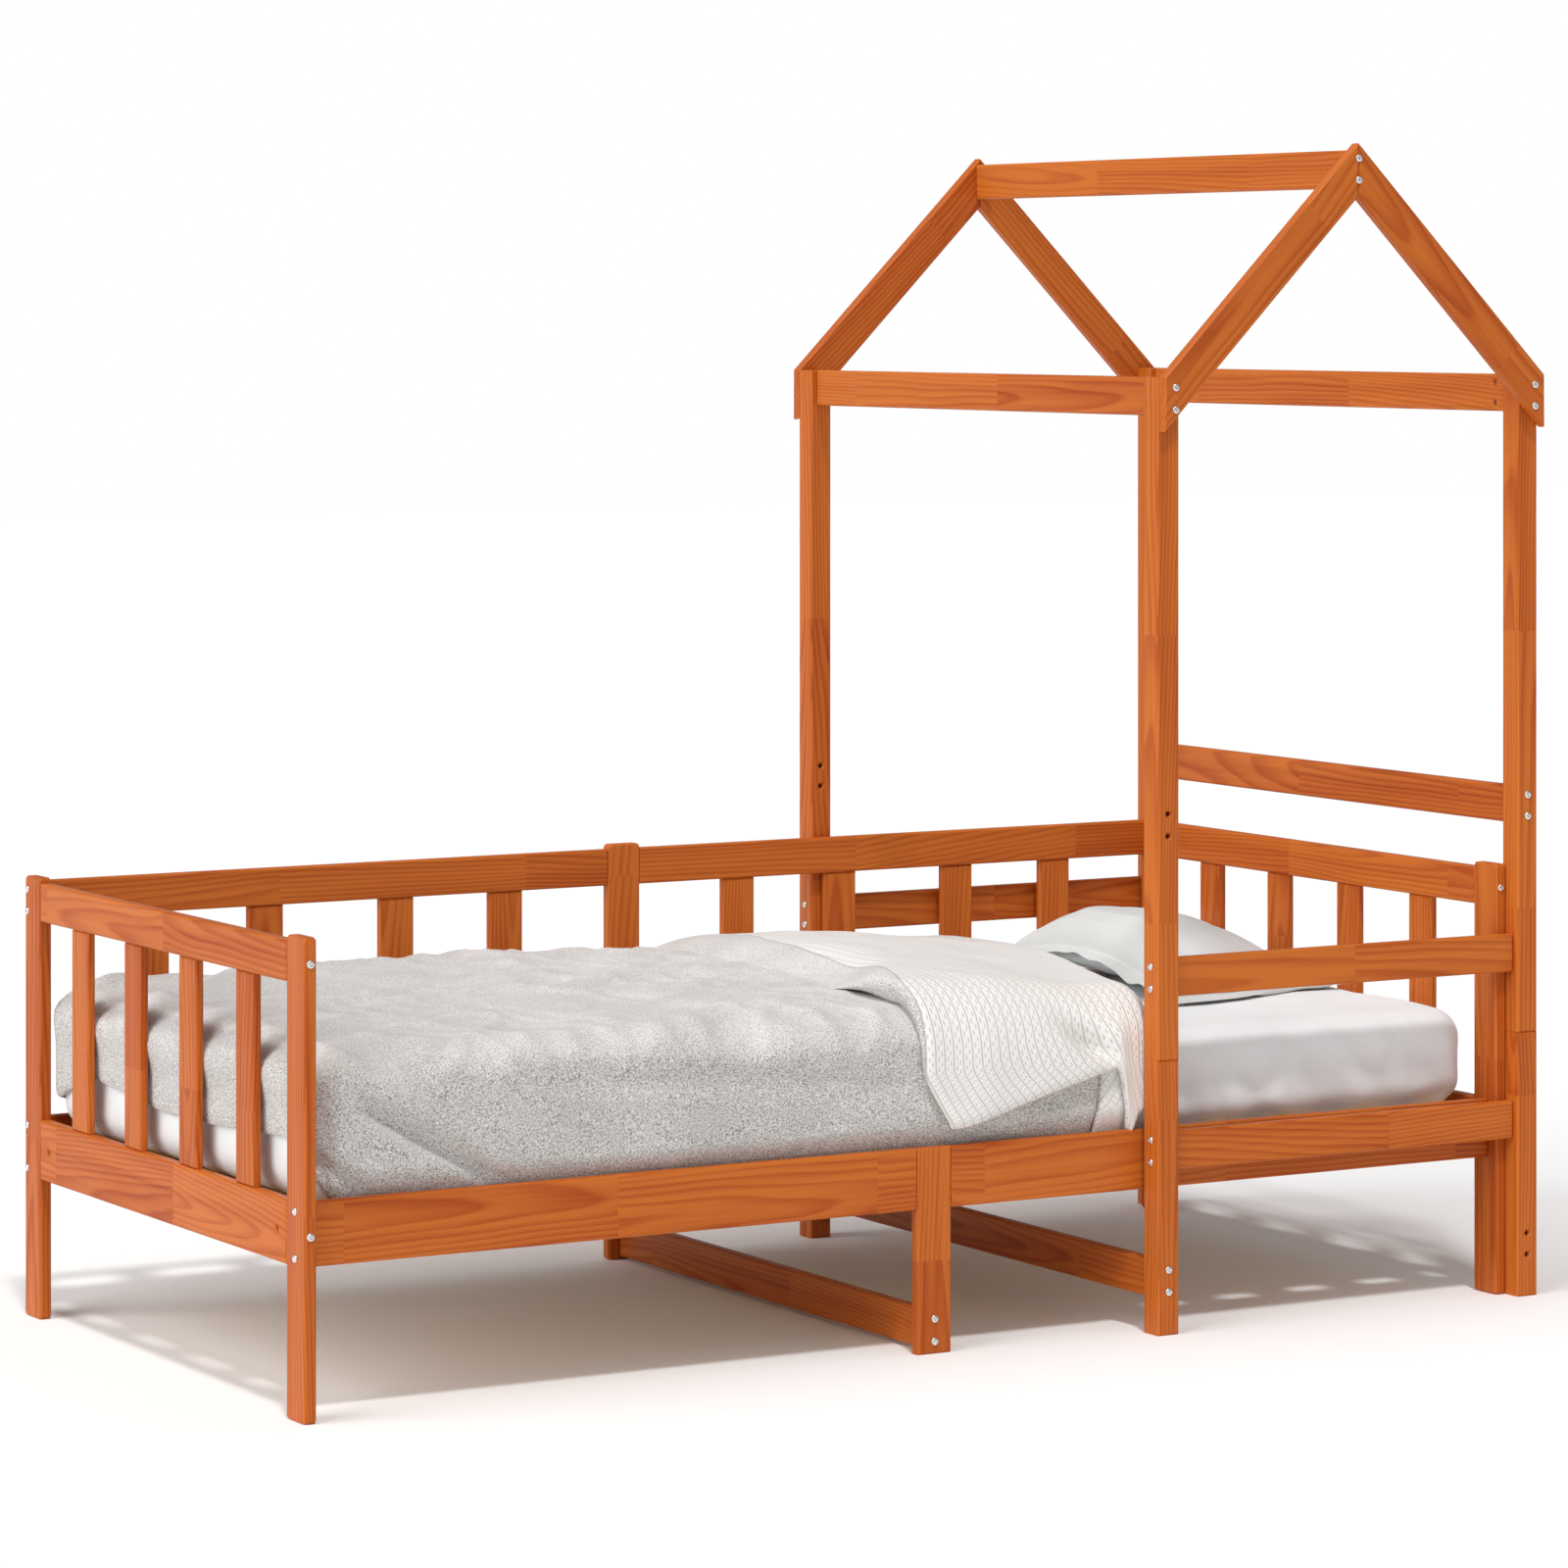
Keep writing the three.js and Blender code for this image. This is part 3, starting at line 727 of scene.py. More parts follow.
def simulate(piece, frames, cap, grow=0.0, pressure=0.0, hold=0.0, bending=0.5, floor=None):
    """Cloth simulation whose result is applied to the mesh. cap gives the furthest that each point may move.

    grow is how much longer the cloth wants to be than its sewn shape, which makes it crumple. hold keeps the
    points near their places, and floor is the height of a flat surface that the piece lies on.
    """
    scene = bpy.context.scene
    start = vertex_places(piece.data)
    cloth = add_cloth(piece, frames, grow, pressure, hold, bending)
    for number in range(1, frames + 1):
        scene.frame_set(number)
    end = vertex_places(piece.evaluated_get(bpy.context.evaluated_depsgraph_get()).to_mesh())
    piece.modifiers.remove(cloth)
    scene.frame_set(1)
    move = end - start
    most = cap(start)[:, None]
    length = np.linalg.norm(move, axis=1, keepdims=True)
    end = start + move / np.maximum(length, 1e-9) * most * np.tanh(length / most)
    end[:, 1] = behind_post(end[:, 0], end[:, 1])
    if floor is not None:
        end[:, 2] = np.maximum(end[:, 2], floor)
    piece.data.vertices.foreach_set("co", end.ravel())
    piece.data.update()
    return piece


# ---------------------------------------------------------------- the duvet's path over the mattress

def face_reach(height):
    """Length of cloth from a corner line, over the turn and down a side to a height in millimetres."""
    return FLAT_REACH + EDGE_TURN * math.pi / 2 + (TOP - EDGE_TURN - np.asarray(height) * MM)


def over_edge(distance):
    """(outward, drop, angle) after a distance of cloth from the corner line."""
    angle = np.clip((distance - FLAT_REACH) / EDGE_TURN, 0.0, math.pi / 2)
    fallen = np.clip(distance - FLAT_REACH - EDGE_TURN * math.pi / 2, 0.0, None)
    outward = np.minimum(distance, FLAT_REACH) + EDGE_TURN * np.sin(angle)
    return outward, EDGE_TURN * (1 - np.cos(angle)) + fallen, angle


class Drape:
    """The surface that the duvet lies on, as grids: its points, outward normals and distance from the rim.

    past_foot and past_side run from 0 at a corner line to 1 at the hem. side is -1 at the front and 1 at
    the back.
    """

    def __init__(self, x, y, past_foot, past_side, side, foot_reach, side_reach):
        most = np.maximum(past_foot, past_side)
        least = np.minimum(past_foot, past_side)
        share = least / np.maximum(most, 1e-9) * math.pi / 4
        turn = np.where(past_foot >= past_side, share, math.pi / 2 - share)
        turn = np.where(most < 1e-9, 0.0, turn)
        reach = foot_reach + (side_reach - foot_reach) * ease(turn, 0.0, math.pi / 2)
        self.distance = most * reach
        self.to_hem = np.where(most > 1e-9, (1 - most) * reach, 1.0)
        outward, drop, angle = over_edge(self.distance)
        out_x, out_y = -np.cos(turn), side * np.sin(turn)
        self.point = np.stack([x + outward * out_x, y + outward * out_y, TOP - drop], axis=-1)
        self.normal = np.stack([np.sin(angle) * out_x, np.sin(angle) * out_y, np.cos(angle)], axis=-1)
        self.side = side
        self.foot_share = np.cos(turn) * (most > 1e-9)


# lines across the bed, as (mm from the open front, mm from the foot end) or (mm from the open front, metres)
FOLD_LINE = [
    (15, 1366), (54, 1380), (90, 1392), (200, 1420), (400, 1482), (600, 1536), (742, 1562), (955, 1590),
]
FREE_EDGE = [(15, 1062), (54, 985), (90, 968), (250, 1000), (500, 1030), (750, 1048), (955, 1060)]
SEAM_GAP = [
    (54, -0.006), (90, 0.008), (150, 0.032), (250, 0.060), (500, 0.085), (750, 0.130), (955, 0.190),
]
ROLL_STUB = 58 * MM                     # how far the turned end runs back under the fold
# (mm above the floor, mm from the foot end) of the flap's free edge on the front drape
FLAP_EDGE_SLANT = [(328, 1085), (376, 1058), (415, 1026), (470, 984)]
# hems, in mm above the floor: the lower layer's front and back, and where the fold meets the rail
FRONT_HEM = 288.0
BACK_HEM = 325.0
ROLL_HEM = 292.0
RAIL_TOP = 0.298                        # the front rail squeezes the duvet below this height
# how thick the lower layer is on top, down its sides and down the foot end
LOFT = 0.056
SIDE_LOFT = 0.0105
FOOT_LOFT = 0.0095


def fold_x(y):
    return along_bed(through((y - BED.y) / MM, FOLD_LINE))


def free_x(y, z):
    """The flap's free edge: across the top by y, and down the front by its height."""
    top_line = through((y - BED.y) / MM, FREE_EDGE)
    face_line = through(z / MM, FLAP_EDGE_SLANT)
    return along_bed(np.where(z < 0.470, face_line, top_line))


def body_thickness(drape):
    """Thickness of the duvet's lower layer: full on top, thin where it is tucked in beside the mattress."""
    turned = ease(drape.distance, 0.0, FLAT_REACH + EDGE_TURN * math.pi / 2)
    x, y, z = (drape.point[..., k] for k in range(3))
    top = LOFT + 0.008 * np.cos((y - across_bed(495)) / 0.46 * math.pi / 2)
    top = top - 0.008 * (1 - ease(x, along_bed(40), along_bed(330)))
    top = top * (0.60 + 0.40 * ease(fold_x(y) - x, 0.0, 0.40))
    front_face = SIDE_LOFT + 0.0145 * ease(z, RAIL_TOP, 0.340)
    face = np.where(drape.side < 0, front_face, SIDE_LOFT)
    face = face + (FOOT_LOFT - face) * drape.foot_share
    return top + (face - top) * turned


# creases across the front drape: (mm from the foot end, mm above the floor) stops, width, depth, bulge
CREASES = (
    ([(105, 425), (209, 370), (335, 304)], 0.016, 0.020, 0.4),
    ([(10, 360), (70, 335), (130, 300)], 0.014, 0.010, 0.4),
    ([(360, 456), (615, 431), (876, 404), (1000, 390)], 0.022, 0.0085, 0.3),
)


def crease(x, z, stops, width, depth, bulge):
    """A crease with a bulge above it, along a line of (x, z) stops in millimetres."""
    places = [along_bed(s[0]) for s in stops]
    heights = [s[1] * MM for s in stops]
    fade_in = ease(x, places[0] - 0.03, places[0] + 0.03)
    fade_out = 1 - ease(x, places[-1] - 0.03, places[-1] + 0.03)
    off = (z - np.interp(x, places, heights)) / width
    return fade_in * fade_out * depth * (-np.exp(-off ** 2) + bulge * np.exp(-(off - 2.1) ** 2 / 2))


def turned_plan(p, along, across):
    """Points turned in plan by the angle whose cosine and sine are along and across."""
    x, y = p[..., 0], p[..., 1]
    return np.stack([x * along + y * across, y * along - x * across, p[..., 2]], axis=-1)


def under_flap(x, y):
    """0 on the open part of the duvet, 1 where the flap lies on it."""
    edge = along_bed(through((y - BED.y) / MM, FREE_EDGE))
    return ease(x, edge - 0.050, edge + 0.030)


def long_folds(p):
    """Long soft folds over the top, most of them slanting one way."""
    skew = turned_plan(p, 0.83, 0.55)
    height = 0.0110 * folds(skew, (0.62, 0.13, 0.3), 3, 3.4)
    height = height + 0.0075 * folds(skew, (0.27, 0.075, 0.2), 4, 3.4)
    return height + 0.0070 * folds(turned_plan(p, 0.6, -0.8), (0.40, 0.085, 0.3), 6, 3.8)


def foot_bulges(p):
    """1 between two slats of the foot panel, 0 at a slat."""
    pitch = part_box("foot_slat_2")[0].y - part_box("foot_slat_1")[0].y
    return 0.5 - 0.5 * np.cos((p[..., 1] - middle("foot_slat_1", 1)) / pitch * 2 * math.pi)


def body_relief(drape, thick):
    """Puffs, soft folds and the drape's creases, as height along the normal."""
    p = drape.point
    flat_part = 1 - ease(drape.distance, FLAT_REACH, FLAT_REACH + EDGE_TURN * 1.4)
    puff = 0.0075 * ripple(p, (0.30, 0.24, 0.3), 1) + 0.0045 * ripple(p, (0.12, 0.10, 0.12), 2)
    skin = p + drape.normal * thick[..., None]
    x, z = skin[..., 0], skin[..., 2]
    creases = sum(crease(x, z, *settings) for settings in CREASES)
    on_front = (drape.side < 0) * (1 - flat_part) * ease(z, RAIL_TOP, 0.330)
    front = on_front * (creases + 0.0030 * ripple(p, (0.16, 0.2, 0.10), 5))
    on_foot = 0.0016 * foot_bulges(p) * drape.foot_share * (1 - flat_part)
    off_x = (p[..., 0] - along_bed(955)) / 0.055
    off_y = (p[..., 1] - across_bed(880)) / 0.16
    dent = -0.016 * np.exp(-off_x ** 2 - off_y ** 2)
    calm = 1 - 0.9 * under_flap(p[..., 0], p[..., 1])
    pinch = (drape.side < 0) * pinch_depth(skin + drape.normal * 0.020, 0.026)
    return calm * (flat_part * (puff + long_folds(p) + dent) + front) + on_foot + pinch


def body_grid():
    """Rows from the foot hem to under the fold, columns from the front hem to the back one."""
    step = 12 * MM
    foot_rows = rim_rows(0.08, 0.11)[:-1]
    end_rows = 1 - rim_rows(0.012, 0.0085)[::-1]
    side_rows = rim_rows(0.05, 0.032)[:-1]
    middle_rows = np.linspace(FRONT_LINE, BACK_LINE, round((BACK_LINE - FRONT_LINE) / step))
    past_foot = np.concatenate([1 - foot_rows, np.zeros(len(end_rows))])[:, None]
    onward = np.concatenate([np.zeros(len(foot_rows)), end_rows])[:, None]
    return np.broadcast_arrays(past_foot, onward, *in_columns(side_rows, middle_rows, side_rows))


FOOT_HEM = [
    (50, 350), (120, 378), (200, 374), (330, 366), (450, 361), (550, 362), (680, 372), (800, 381),
    (880, 352), (930, 330),
]


def duvet_body():
    past_foot, onward, past_side, side, y = body_grid()
    end = fold_x(y + side * past_side * 0.06) - ROLL_STUB - 3 * MM
    x = FOOT_LINE + onward * (end - FOOT_LINE)
    foot_reach = face_reach(through((y - BED.y) / MM, FOOT_HEM))
    side_reach = np.where(side < 0, face_reach(FRONT_HEM), face_reach(BACK_HEM))
    drape = Drape(x, y, past_foot, past_side, side, foot_reach, side_reach)

    thick = body_thickness(drape)
    to_end = np.where(past_foot > 0, 1.0, end - x)
    full = rounded(np.minimum(drape.to_hem, to_end), 0.016)
    centre = thick / 2
    half = thick / 2 * full
    relief = body_relief(drape, thick) * full
    outer = drape.point + drape.normal * (centre + half + relief)[..., None]
    inner = drape.point + drape.normal * (centre - half)[..., None]
    return slab_mesh("duvet_body", outer, inner)


def flap_thickness(drape):
    turned = ease(drape.distance, 0.0, FLAT_REACH + EDGE_TURN * math.pi / 2)
    x, y = drape.point[..., 0], drape.point[..., 1]
    top = 0.040 - 0.012 * ease(y, across_bed(480), across_bed(780))
    top = top - 0.009 * ease(y, across_bed(760), across_bed(950))
    top = top * (0.85 + 0.15 * ease(fold_x(y) - x, 0.0, 0.25))
    face = np.where(drape.side < 0, 0.022, 0.012)
    return top + (face - top) * turned


FLAP_HEM = [(1060, 326), (1085, 328), (1200, 361), (1320, 392), (1352, 398)]


def pinch_depth(skin, depth):
    """A slanting dent in the front drape, deepest beside the house post."""
    off_x = skin[..., 0] - along_bed(1300)
    off_z = skin[..., 2] - 0.440
    length_way = (0.80 * off_x - 0.60 * off_z) / 0.050
    width_way = (0.60 * off_x + 0.80 * off_z) / 0.017
    return -depth * np.exp(-length_way ** 2 - width_way ** 2)


def behind_post(x, y):
    """Keeps the duvet clear of the front house post that stands beside it."""
    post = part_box("house_post_front_inner_upper")
    clear_y = post[1].y + 3 * MM
    near = ease(x, post[0].x - 0.045, post[0].x - 0.006)
    return np.where(y < clear_y, y + (clear_y - y) * near, y)


def flap_grid():
    """Rows from the free edge, round the roll and under it; columns from the front hem to the back one.

    onward runs from 0 at the free edge to 1 at the roll, roll is the angle round it and stub the share of the
    end that runs back under the fold.
    """
    top_rows = rim_rows(0.045, 0.03)
    top_rows = np.concatenate([top_rows[top_rows < 0.84], np.linspace(0.85, 1.0, 22)])
    roll_rows = np.linspace(0, math.pi, 15)[1:]
    stub_rows = rim_rows(0.16, 0.2)[::-1]
    tops, rolls, stubs = len(top_rows), len(roll_rows), len(stub_rows)
    onward = np.concatenate([top_rows, np.ones(rolls + stubs)])[:, None]
    roll = np.concatenate([np.zeros(tops), roll_rows, np.full(stubs, math.pi)])[:, None]
    stub = np.concatenate([np.zeros(tops + rolls), 1 - stub_rows])[:, None]
    middle_rows = np.linspace(FRONT_LINE, BACK_LINE, 84)
    columns = in_columns(rim_rows(0.07, 0.036)[:-1], middle_rows, rim_rows(0.35, 0.25)[:-1])
    return np.broadcast_arrays(onward, roll, stub, *columns)


def flap_path(onward, past_side, side, y):
    """The surface below the flap, its x and y along the cloth, and the x of its fold and its free edge."""
    # the hem on the front climbs towards the roll, and the roll itself runs down to the rail
    rough_y = y - (side < 0) * past_side * 0.06 + (side > 0) * past_side * 0.05
    fold = fold_x(rough_y)
    fallen = np.clip(past_side * face_reach(360.0) - 0.05, 0, None)
    free = free_x(rough_y, np.where(side < 0, TOP - fallen, TOP))
    x = free + onward * (fold - free)
    hem_height = through((x - BED.x) / MM, FLAP_HEM)
    at_roll = ease(onward, 0.905, 1.0)
    front_reach = face_reach(hem_height + (ROLL_HEM - hem_height) * at_roll)
    side_reach = np.where(side < 0, front_reach, FLAT_REACH + 0.018)
    return Drape(x, y, 0 * x, past_side, side, 0.1, side_reach), x, rough_y, fold, free


def flap_skins(drape, roll, stub):
    """Height of the whole fold, and the flap's upper and lower skin before its rims are rounded."""
    below = body_thickness(drape)
    above = flap_thickness(drape)
    rolled = roll > 0
    near_rail = ease(drape.point[..., 2], RAIL_TOP, 0.345)
    narrow = np.where(drape.side < 0, 0.04 + 0.96 * near_rail, 1.0)
    total = below + np.where(rolled, above * narrow, above)
    centre = total / 2 + 0.001
    high = np.where(rolled, centre + total / 2 * np.cos(roll), total + 0.001)
    low = np.where(rolled, centre + total * 0.06 * np.cos(roll), below + 0.001)
    # under the fold the stub is as thick as the lower layer
    high = np.where(stub > 0, 0.001, high)
    low = np.where(stub > 0, below - 0.001, low)
    out_high = np.where(rolled, total * 0.42 * np.sin(roll), 0.0) - stub * ROLL_STUB
    out_low = np.where(rolled, total * 0.05 * np.sin(roll), 0.0) - stub * ROLL_STUB
    forward = np.array([1.0, 0.0, 0.0])
    upper = drape.point + drape.normal * high[..., None] + forward * out_high[..., None]
    lower = drape.point + drape.normal * low[..., None] + forward * out_low[..., None]
    return total, upper, lower


def round_flap(drape, upper, lower, to_free, to_stub, at_back):
    """Brings the skins together at the rims. The free edge is round in front and sinks in further back."""
    soft_rim = 0.016 + 0.125 * at_back
    free_full = rounded(to_free, soft_rim) * (1 - at_back) + ease(to_free, 0.0, soft_rim) * at_back
    full = np.minimum(free_full, rounded(np.minimum(drape.to_hem, to_stub), 0.018))
    near_edge = 1 - ease(to_free, 0.0, soft_rim)
    lower = lower - drape.normal * (0.006 * at_back * near_edge)[..., None]
    meeting = lower + (upper - lower) * (0.5 - 0.5 * at_back * near_edge)[..., None]
    outer = meeting + (upper - meeting) * full[..., None]
    inner = meeting + (lower - meeting) * full[..., None]
    return full, outer, inner


def duvet_flap():
    onward, roll, stub, past_side, side, y = flap_grid()
    drape, x, rough_y, fold, free = flap_path(onward, past_side, side, y)
    total, upper, lower = flap_skins(drape, roll, stub)
    rolled = roll > 0
    to_free = np.where(rolled, 1.0, x - free)
    to_stub = np.where(stub > 0, (1 - stub) * ROLL_STUB, 1.0)
    at_back = ease(rough_y, across_bed(110), across_bed(360))
    full, outer, inner = round_flap(drape, upper, lower, to_free, to_stub, at_back)

    skin = drape.point + drape.normal * (total * full)[..., None]
    swell = 0.0045 * ripple(drape.point, (0.16, 0.12, 0.16), 7)
    swell = swell + 0.0030 * ripple(drape.point, (0.07, 0.06, 0.07), 8)
    calm = 1 - 0.6 * ease(onward, 0.85, 1.0)
    lift = full * (calm * swell + (side < 0) * pinch_depth(skin, 0.034))
    pressed = np.where(rolled, 0.0, (side < 0) * pinch_depth(skin, 0.022) * full)
    outer = outer + drape.normal * lift[..., None]
    inner = inner + drape.normal * pressed[..., None]
    for grid in (outer, inner):
        grid[..., 1] = behind_post(grid[..., 0], grid[..., 1])

    # flat and edge are measured along the cloth, from its free edge and from the seam of its white side
    turned_back = (fold - x) + np.where(rolled, -roll / math.pi * total * 1.3, 0.0) - stub * ROLL_STUB
    flat_y = rough_y + side * (drape.distance - np.abs(rough_y - y))
    flat = np.stack([x - free + (fold - x - turned_back), flat_y], axis=-1)
    gap = through((rough_y - BED.y) / MM, SEAM_GAP)
    edge = np.stack([flat[..., 0] - gap, flat_y], axis=-1)
    return slab_mesh("duvet_flap", outer, inner, flat=flat, edge=edge)


# ---------------------------------------------------------------- mattress

MATTRESS_ROUNDING = 0.050
MATTRESS_STEP = 0.011


def sheet_folds(world, normal, rise, half_height):
    """Soft upright folds down the sides, deepest where the elastic pulls at the bottom."""
    x, y, z = world.T
    run = np.stack([x + 0.35 * z, y + 0.2 * z, z], axis=-1)
    fall = ease(-rise, -half_height + 0.02, half_height)
    depth = 0.0035 * ripple(run, (0.05, 0.05, 0.26), 21) + 0.0040 * ripple(run, (0.13, 0.13, 0.35), 22)
    depth = depth - 0.0035 * folds(run, (0.09, 0.09, 0.30), 25, 4.0)
    side = np.clip(np.abs(normal[:, :2]).max(axis=1), 0, 1)
    return depth * side * (0.25 + 0.9 * fall) * (0.8 + 1.6 * np.abs(normal[:, 1]))


def mattress_piece():
    """A foam block in a fitted sheet: rounded edges, a low crown and soft folds down its sides."""
    low, high = np.array(MATTRESS_LOW), np.array(MATTRESS_HIGH)
    centre, half = (low + high) / 2, (high - low) / 2
    radius = MATTRESS_ROUNDING
    points, faces = box_grid(half, radius, MATTRESS_STEP)
    inner = np.clip(points, -(half - radius), half - radius)
    off = points - inner
    normal = off / np.maximum(np.linalg.norm(off, axis=1, keepdims=True), 1e-9)
    points = inner + normal * radius
    world = points + centre
    top = ease(points[:, 2], half[2] - radius, half[2])
    spread = (1 - (points[:, 0] / half[0]) ** 4) * (1 - (points[:, 1] / half[1]) ** 2)
    soft_top = 0.0024 * ripple(world, (0.16, 0.11, 0.2), 23) + 0.0012 * ripple(world, (0.06, 0.05, 0.1), 24)
    side_folds = sheet_folds(world, normal, points[:, 2], half[2])
    shift = normal * (side_folds + top * soft_top)[:, None]
    shift[:, 2] += 0.0035 * spread * top
    mesh = bpy.data.meshes.new("mattress_sheet")
    mesh.from_pydata((world + shift - normal * 0.0012).tolist(), [], faces.tolist())
    mesh.polygons.foreach_set("use_smooth", [True] * len(mesh.polygons))
    return link(bpy.data.objects.new("mattress_sheet", mesh))


def box_grid(half, radius, step):
    """Points and quads over a box's surface, close together near its edges."""
    made = bmesh.new()
    keys = {}

    def vert(p):
        key = tuple(round(float(c), 7) for c in p)
        if key not in keys:
            keys[key] = made.verts.new(key)
        return keys[key]

    def rows(reach):
        edge = [radius * (1 - math.cos(math.radians(a))) for a in (0, 22, 38, 50, 60, 70, 80, 90)]
        between = 2 * (reach - radius)
        count = max(2, round(between / step))
        inner_rows = [radius + between * k / count for k in range(1, count)]
        return [-reach + e for e in edge + inner_rows + [2 * reach - e for e in reversed(edge)]]

    for axis in range(3):
        first, second = [k for k in range(3) if k != axis]
        for sign in (-1, 1):
            for a, b in pairs(rows(half[first])):
                for c, d in pairs(rows(half[second])):
                    corners = []
                    for s, t in ((a, c), (b, c), (b, d), (a, d)):
                        p = [0.0, 0.0, 0.0]
                        p[axis], p[first], p[second] = sign * half[axis], s, t
                        corners.append(vert(p))
                    made.faces.new(corners)
    bmesh.ops.recalc_face_normals(made, faces=made.faces)
    made.verts.index_update()
    points = np.array([v.co[:] for v in made.verts])
    faces = np.array([[v.index for v in f.verts] for f in made.faces])
    made.free()
    return points, faces


def pairs(values):
    return zip(values, values[1:])


# ---------------------------------------------------------------- pillow

PILLOW_LOW, PILLOW_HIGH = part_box("pillow")
FLANGE = 24 * MM
PILLOW_FRONT = 262                      # mm from the open front
FILL_RISE = 0.088                       # how far the filling swells up and down from the seam
FILL_SINK = 0.058
PILLOW_CEILING = 0.127                  # the filling is pressed flatter above this height
LIP_RISE = 0.050                        # how far the open edge lifts towards the duvet


def pillow_rows(count):
    """Places across the filled part and how far into the flange beyond it, both from -1 to 1."""
    filled = np.sin(np.linspace(-math.pi / 2, math.pi / 2, count))
    beyond = np.linspace(1.0, 0.2, 5)
    places = np.concatenate([-np.ones(5), filled, np.ones(5)])
    flange = np.concatenate([-beyond, np.zeros(count), beyond[::-1]])
    return places, flange


def pillow_piece():
    """Two sheets sewn round the edge and filled, inside a flat flange that lifts towards the duvet."""
    low, high = np.array(PILLOW_LOW), np.array(PILLOW_HIGH)
    near, far = across_bed(PILLOW_FRONT), high[1] - 0.004
    centre = np.array([(low[0] + high[0]) / 2, (near + far) / 2, low[2]])
    half_x, half_y = (high[0] - low[0]) / 2 - FLANGE - 0.003, (far - near) / 2 - FLANGE
    s, flange_s = pillow_rows(51)
    t, flange_t = pillow_rows(67)
    s, t = np.broadcast_arrays(s[:, None], t[None, :])
    flange_s, flange_t = np.broadcast_arrays(flange_s[:, None], flange_t[None, :])

    # the sides pull in between the corners, and the front corner at the head end is drawn back
    x = s * half_x * (1 - 0.055 * (1 - t ** 2)) + flange_s * FLANGE
    y = t * half_y * (1 - 0.050 * (1 - s ** 2)) + flange_t * FLANGE
    drawn = ease(s, -0.6, 1.0) * ease(-t, -0.2, 1.0)
    x = x - 0.030 * drawn
    y = y + 0.072 * drawn
    fill = ((1 - np.abs(s) ** 2.4) * (1 - np.abs(t) ** 2.6)) ** 0.5
    lean = 1 - 0.20 * s - 0.05 * t
    grid = np.stack([x, y, 0 * x], axis=-1)
    lifted = LIP_RISE * (1 - ((t - 0.25) / 1.3) ** 2) * ease(-s, -0.9, 0.9)
    seam = 0.006 + lifted + 0.010 * ease(s, 0.0, 1.0) * ease(t, -1.0, 0.2)
    out = np.maximum(np.abs(flange_s), np.abs(flange_t))
    wave = 0.014 * ripple(grid, (0.10, 0.085, 1), 33) + 0.006 * ripple(grid, (0.05, 0.04, 1), 34)
    seam = np.maximum(seam - 0.010 * out ** 2 + wave * (0.35 + 0.65 * out) * ease(seam, 0.008, 0.030), 0.0035)
    dimples = 0.05 * ripple(grid, (0.22, 0.20, 1), 31) - 0.06 * folds(grid, (0.11, 0.16, 1), 32, 3.0)
    rise = FILL_RISE * fill * lean * (1 + dimples)
    height = seam + rise
    upper = np.minimum(height, PILLOW_CEILING + 0.1 * (height - PILLOW_CEILING)) + 0.0015
    lower = np.maximum(seam - FILL_SINK * fill ** 0.8 - 0.0015, 0.001)
    # a stitched line between the filling and the flange
    stitched = np.exp(-((1 - np.maximum(np.abs(s), np.abs(t))) / 0.004) ** 2) * (out < 0.15)
    upper = upper - 0.0012 * stitched
    outer = np.stack([x, y, upper], axis=-1) + centre
    inner = np.stack([x, y, lower], axis=-1) + centre
    return slab_mesh("pillow_cover", outer, inner)


def pillow_caps(points):
    """The filled part may swell; the flange keeps its place."""
    inset_x = np.minimum(points[:, 0] - PILLOW_LOW.x, PILLOW_HIGH.x - points[:, 0])
    inset_y = np.minimum(points[:, 1] - across_bed(PILLOW_FRONT), PILLOW_HIGH.y - points[:, 1])
    return 0.0005 + 0.0125 * ease(np.minimum(inset_x, inset_y), 0.026, 0.075)


def duvet_caps(points):
    """The duvet may crumple freely on top, less on the front drape and hardly where wood is close."""
    x, y, z = points.T
    top = ease(z, TOP - 0.012, TOP + 0.020)
    on_front = (y < FRONT_LINE - 0.02) & (x > FOOT_LINE - 0.02)
    face = np.where(on_front, 0.0055 * ease(z, 0.305, 0.340), 0.0) + 0.0008
    return (face + (0.014 - face) * top) * (1 - 0.85 * under_flap(x, y))


def flap_caps(points):
    """The flap crumples a little on top and hardly at all on its front face."""
    return 0.0025 + 0.0055 * ease(points[:, 2], TOP - 0.012, TOP + 0.020)


# ---------------------------------------------------------------- fabric materials

def dress_shader(t, shader, color, rough, normal, specular, sheen):
    """Feeds a cloth's own values into its shader."""
    t.feed(shader, {
        "Base Color": color, "Roughness": rough, "Normal": normal,
        "Specular IOR Level": specular, "Sheen Weight": sheen,
    })


def weave_height(t, coordinates, scale):
    """Crossed threads, as waves across both diagonals of the cloth."""
    x, y, z = t.split(coordinates)
    first = t.math("SINE", t.mul(t.add(x, z), scale))
    second = t.math("SINE", t.mul(t.add(y, z), scale))
    return t.mul(first, second)


def plain_cotton(name, light, dark, thread, rough):
    """A fine plain weave with faint clouding and slubs."""
    material, t, shader = new_material(name)
    coordinates = t.object_place()
    cloud = t.noise(coordinates, 7.0, 3.0)
    slub = t.noise(t.vector("MULTIPLY", coordinates, (220.0, 900.0, 900.0)), 1.0, 2.0)
    tone = t.add(t.mul(cloud, 0.6), t.mul(slub, 0.4))
    color = t.mix(t.smooth(tone, 0.3, 0.7), dark, light)
    height = t.add(t.mul(weave_height(t, coordinates, thread), 0.25), slub)
    roughness = t.add(t.mul(slub, 0.1), rough)
    dress_shader(t, shader, color, roughness, t.bump(height, 0.22, 0.0006), 0.2, 0.25)
    return material


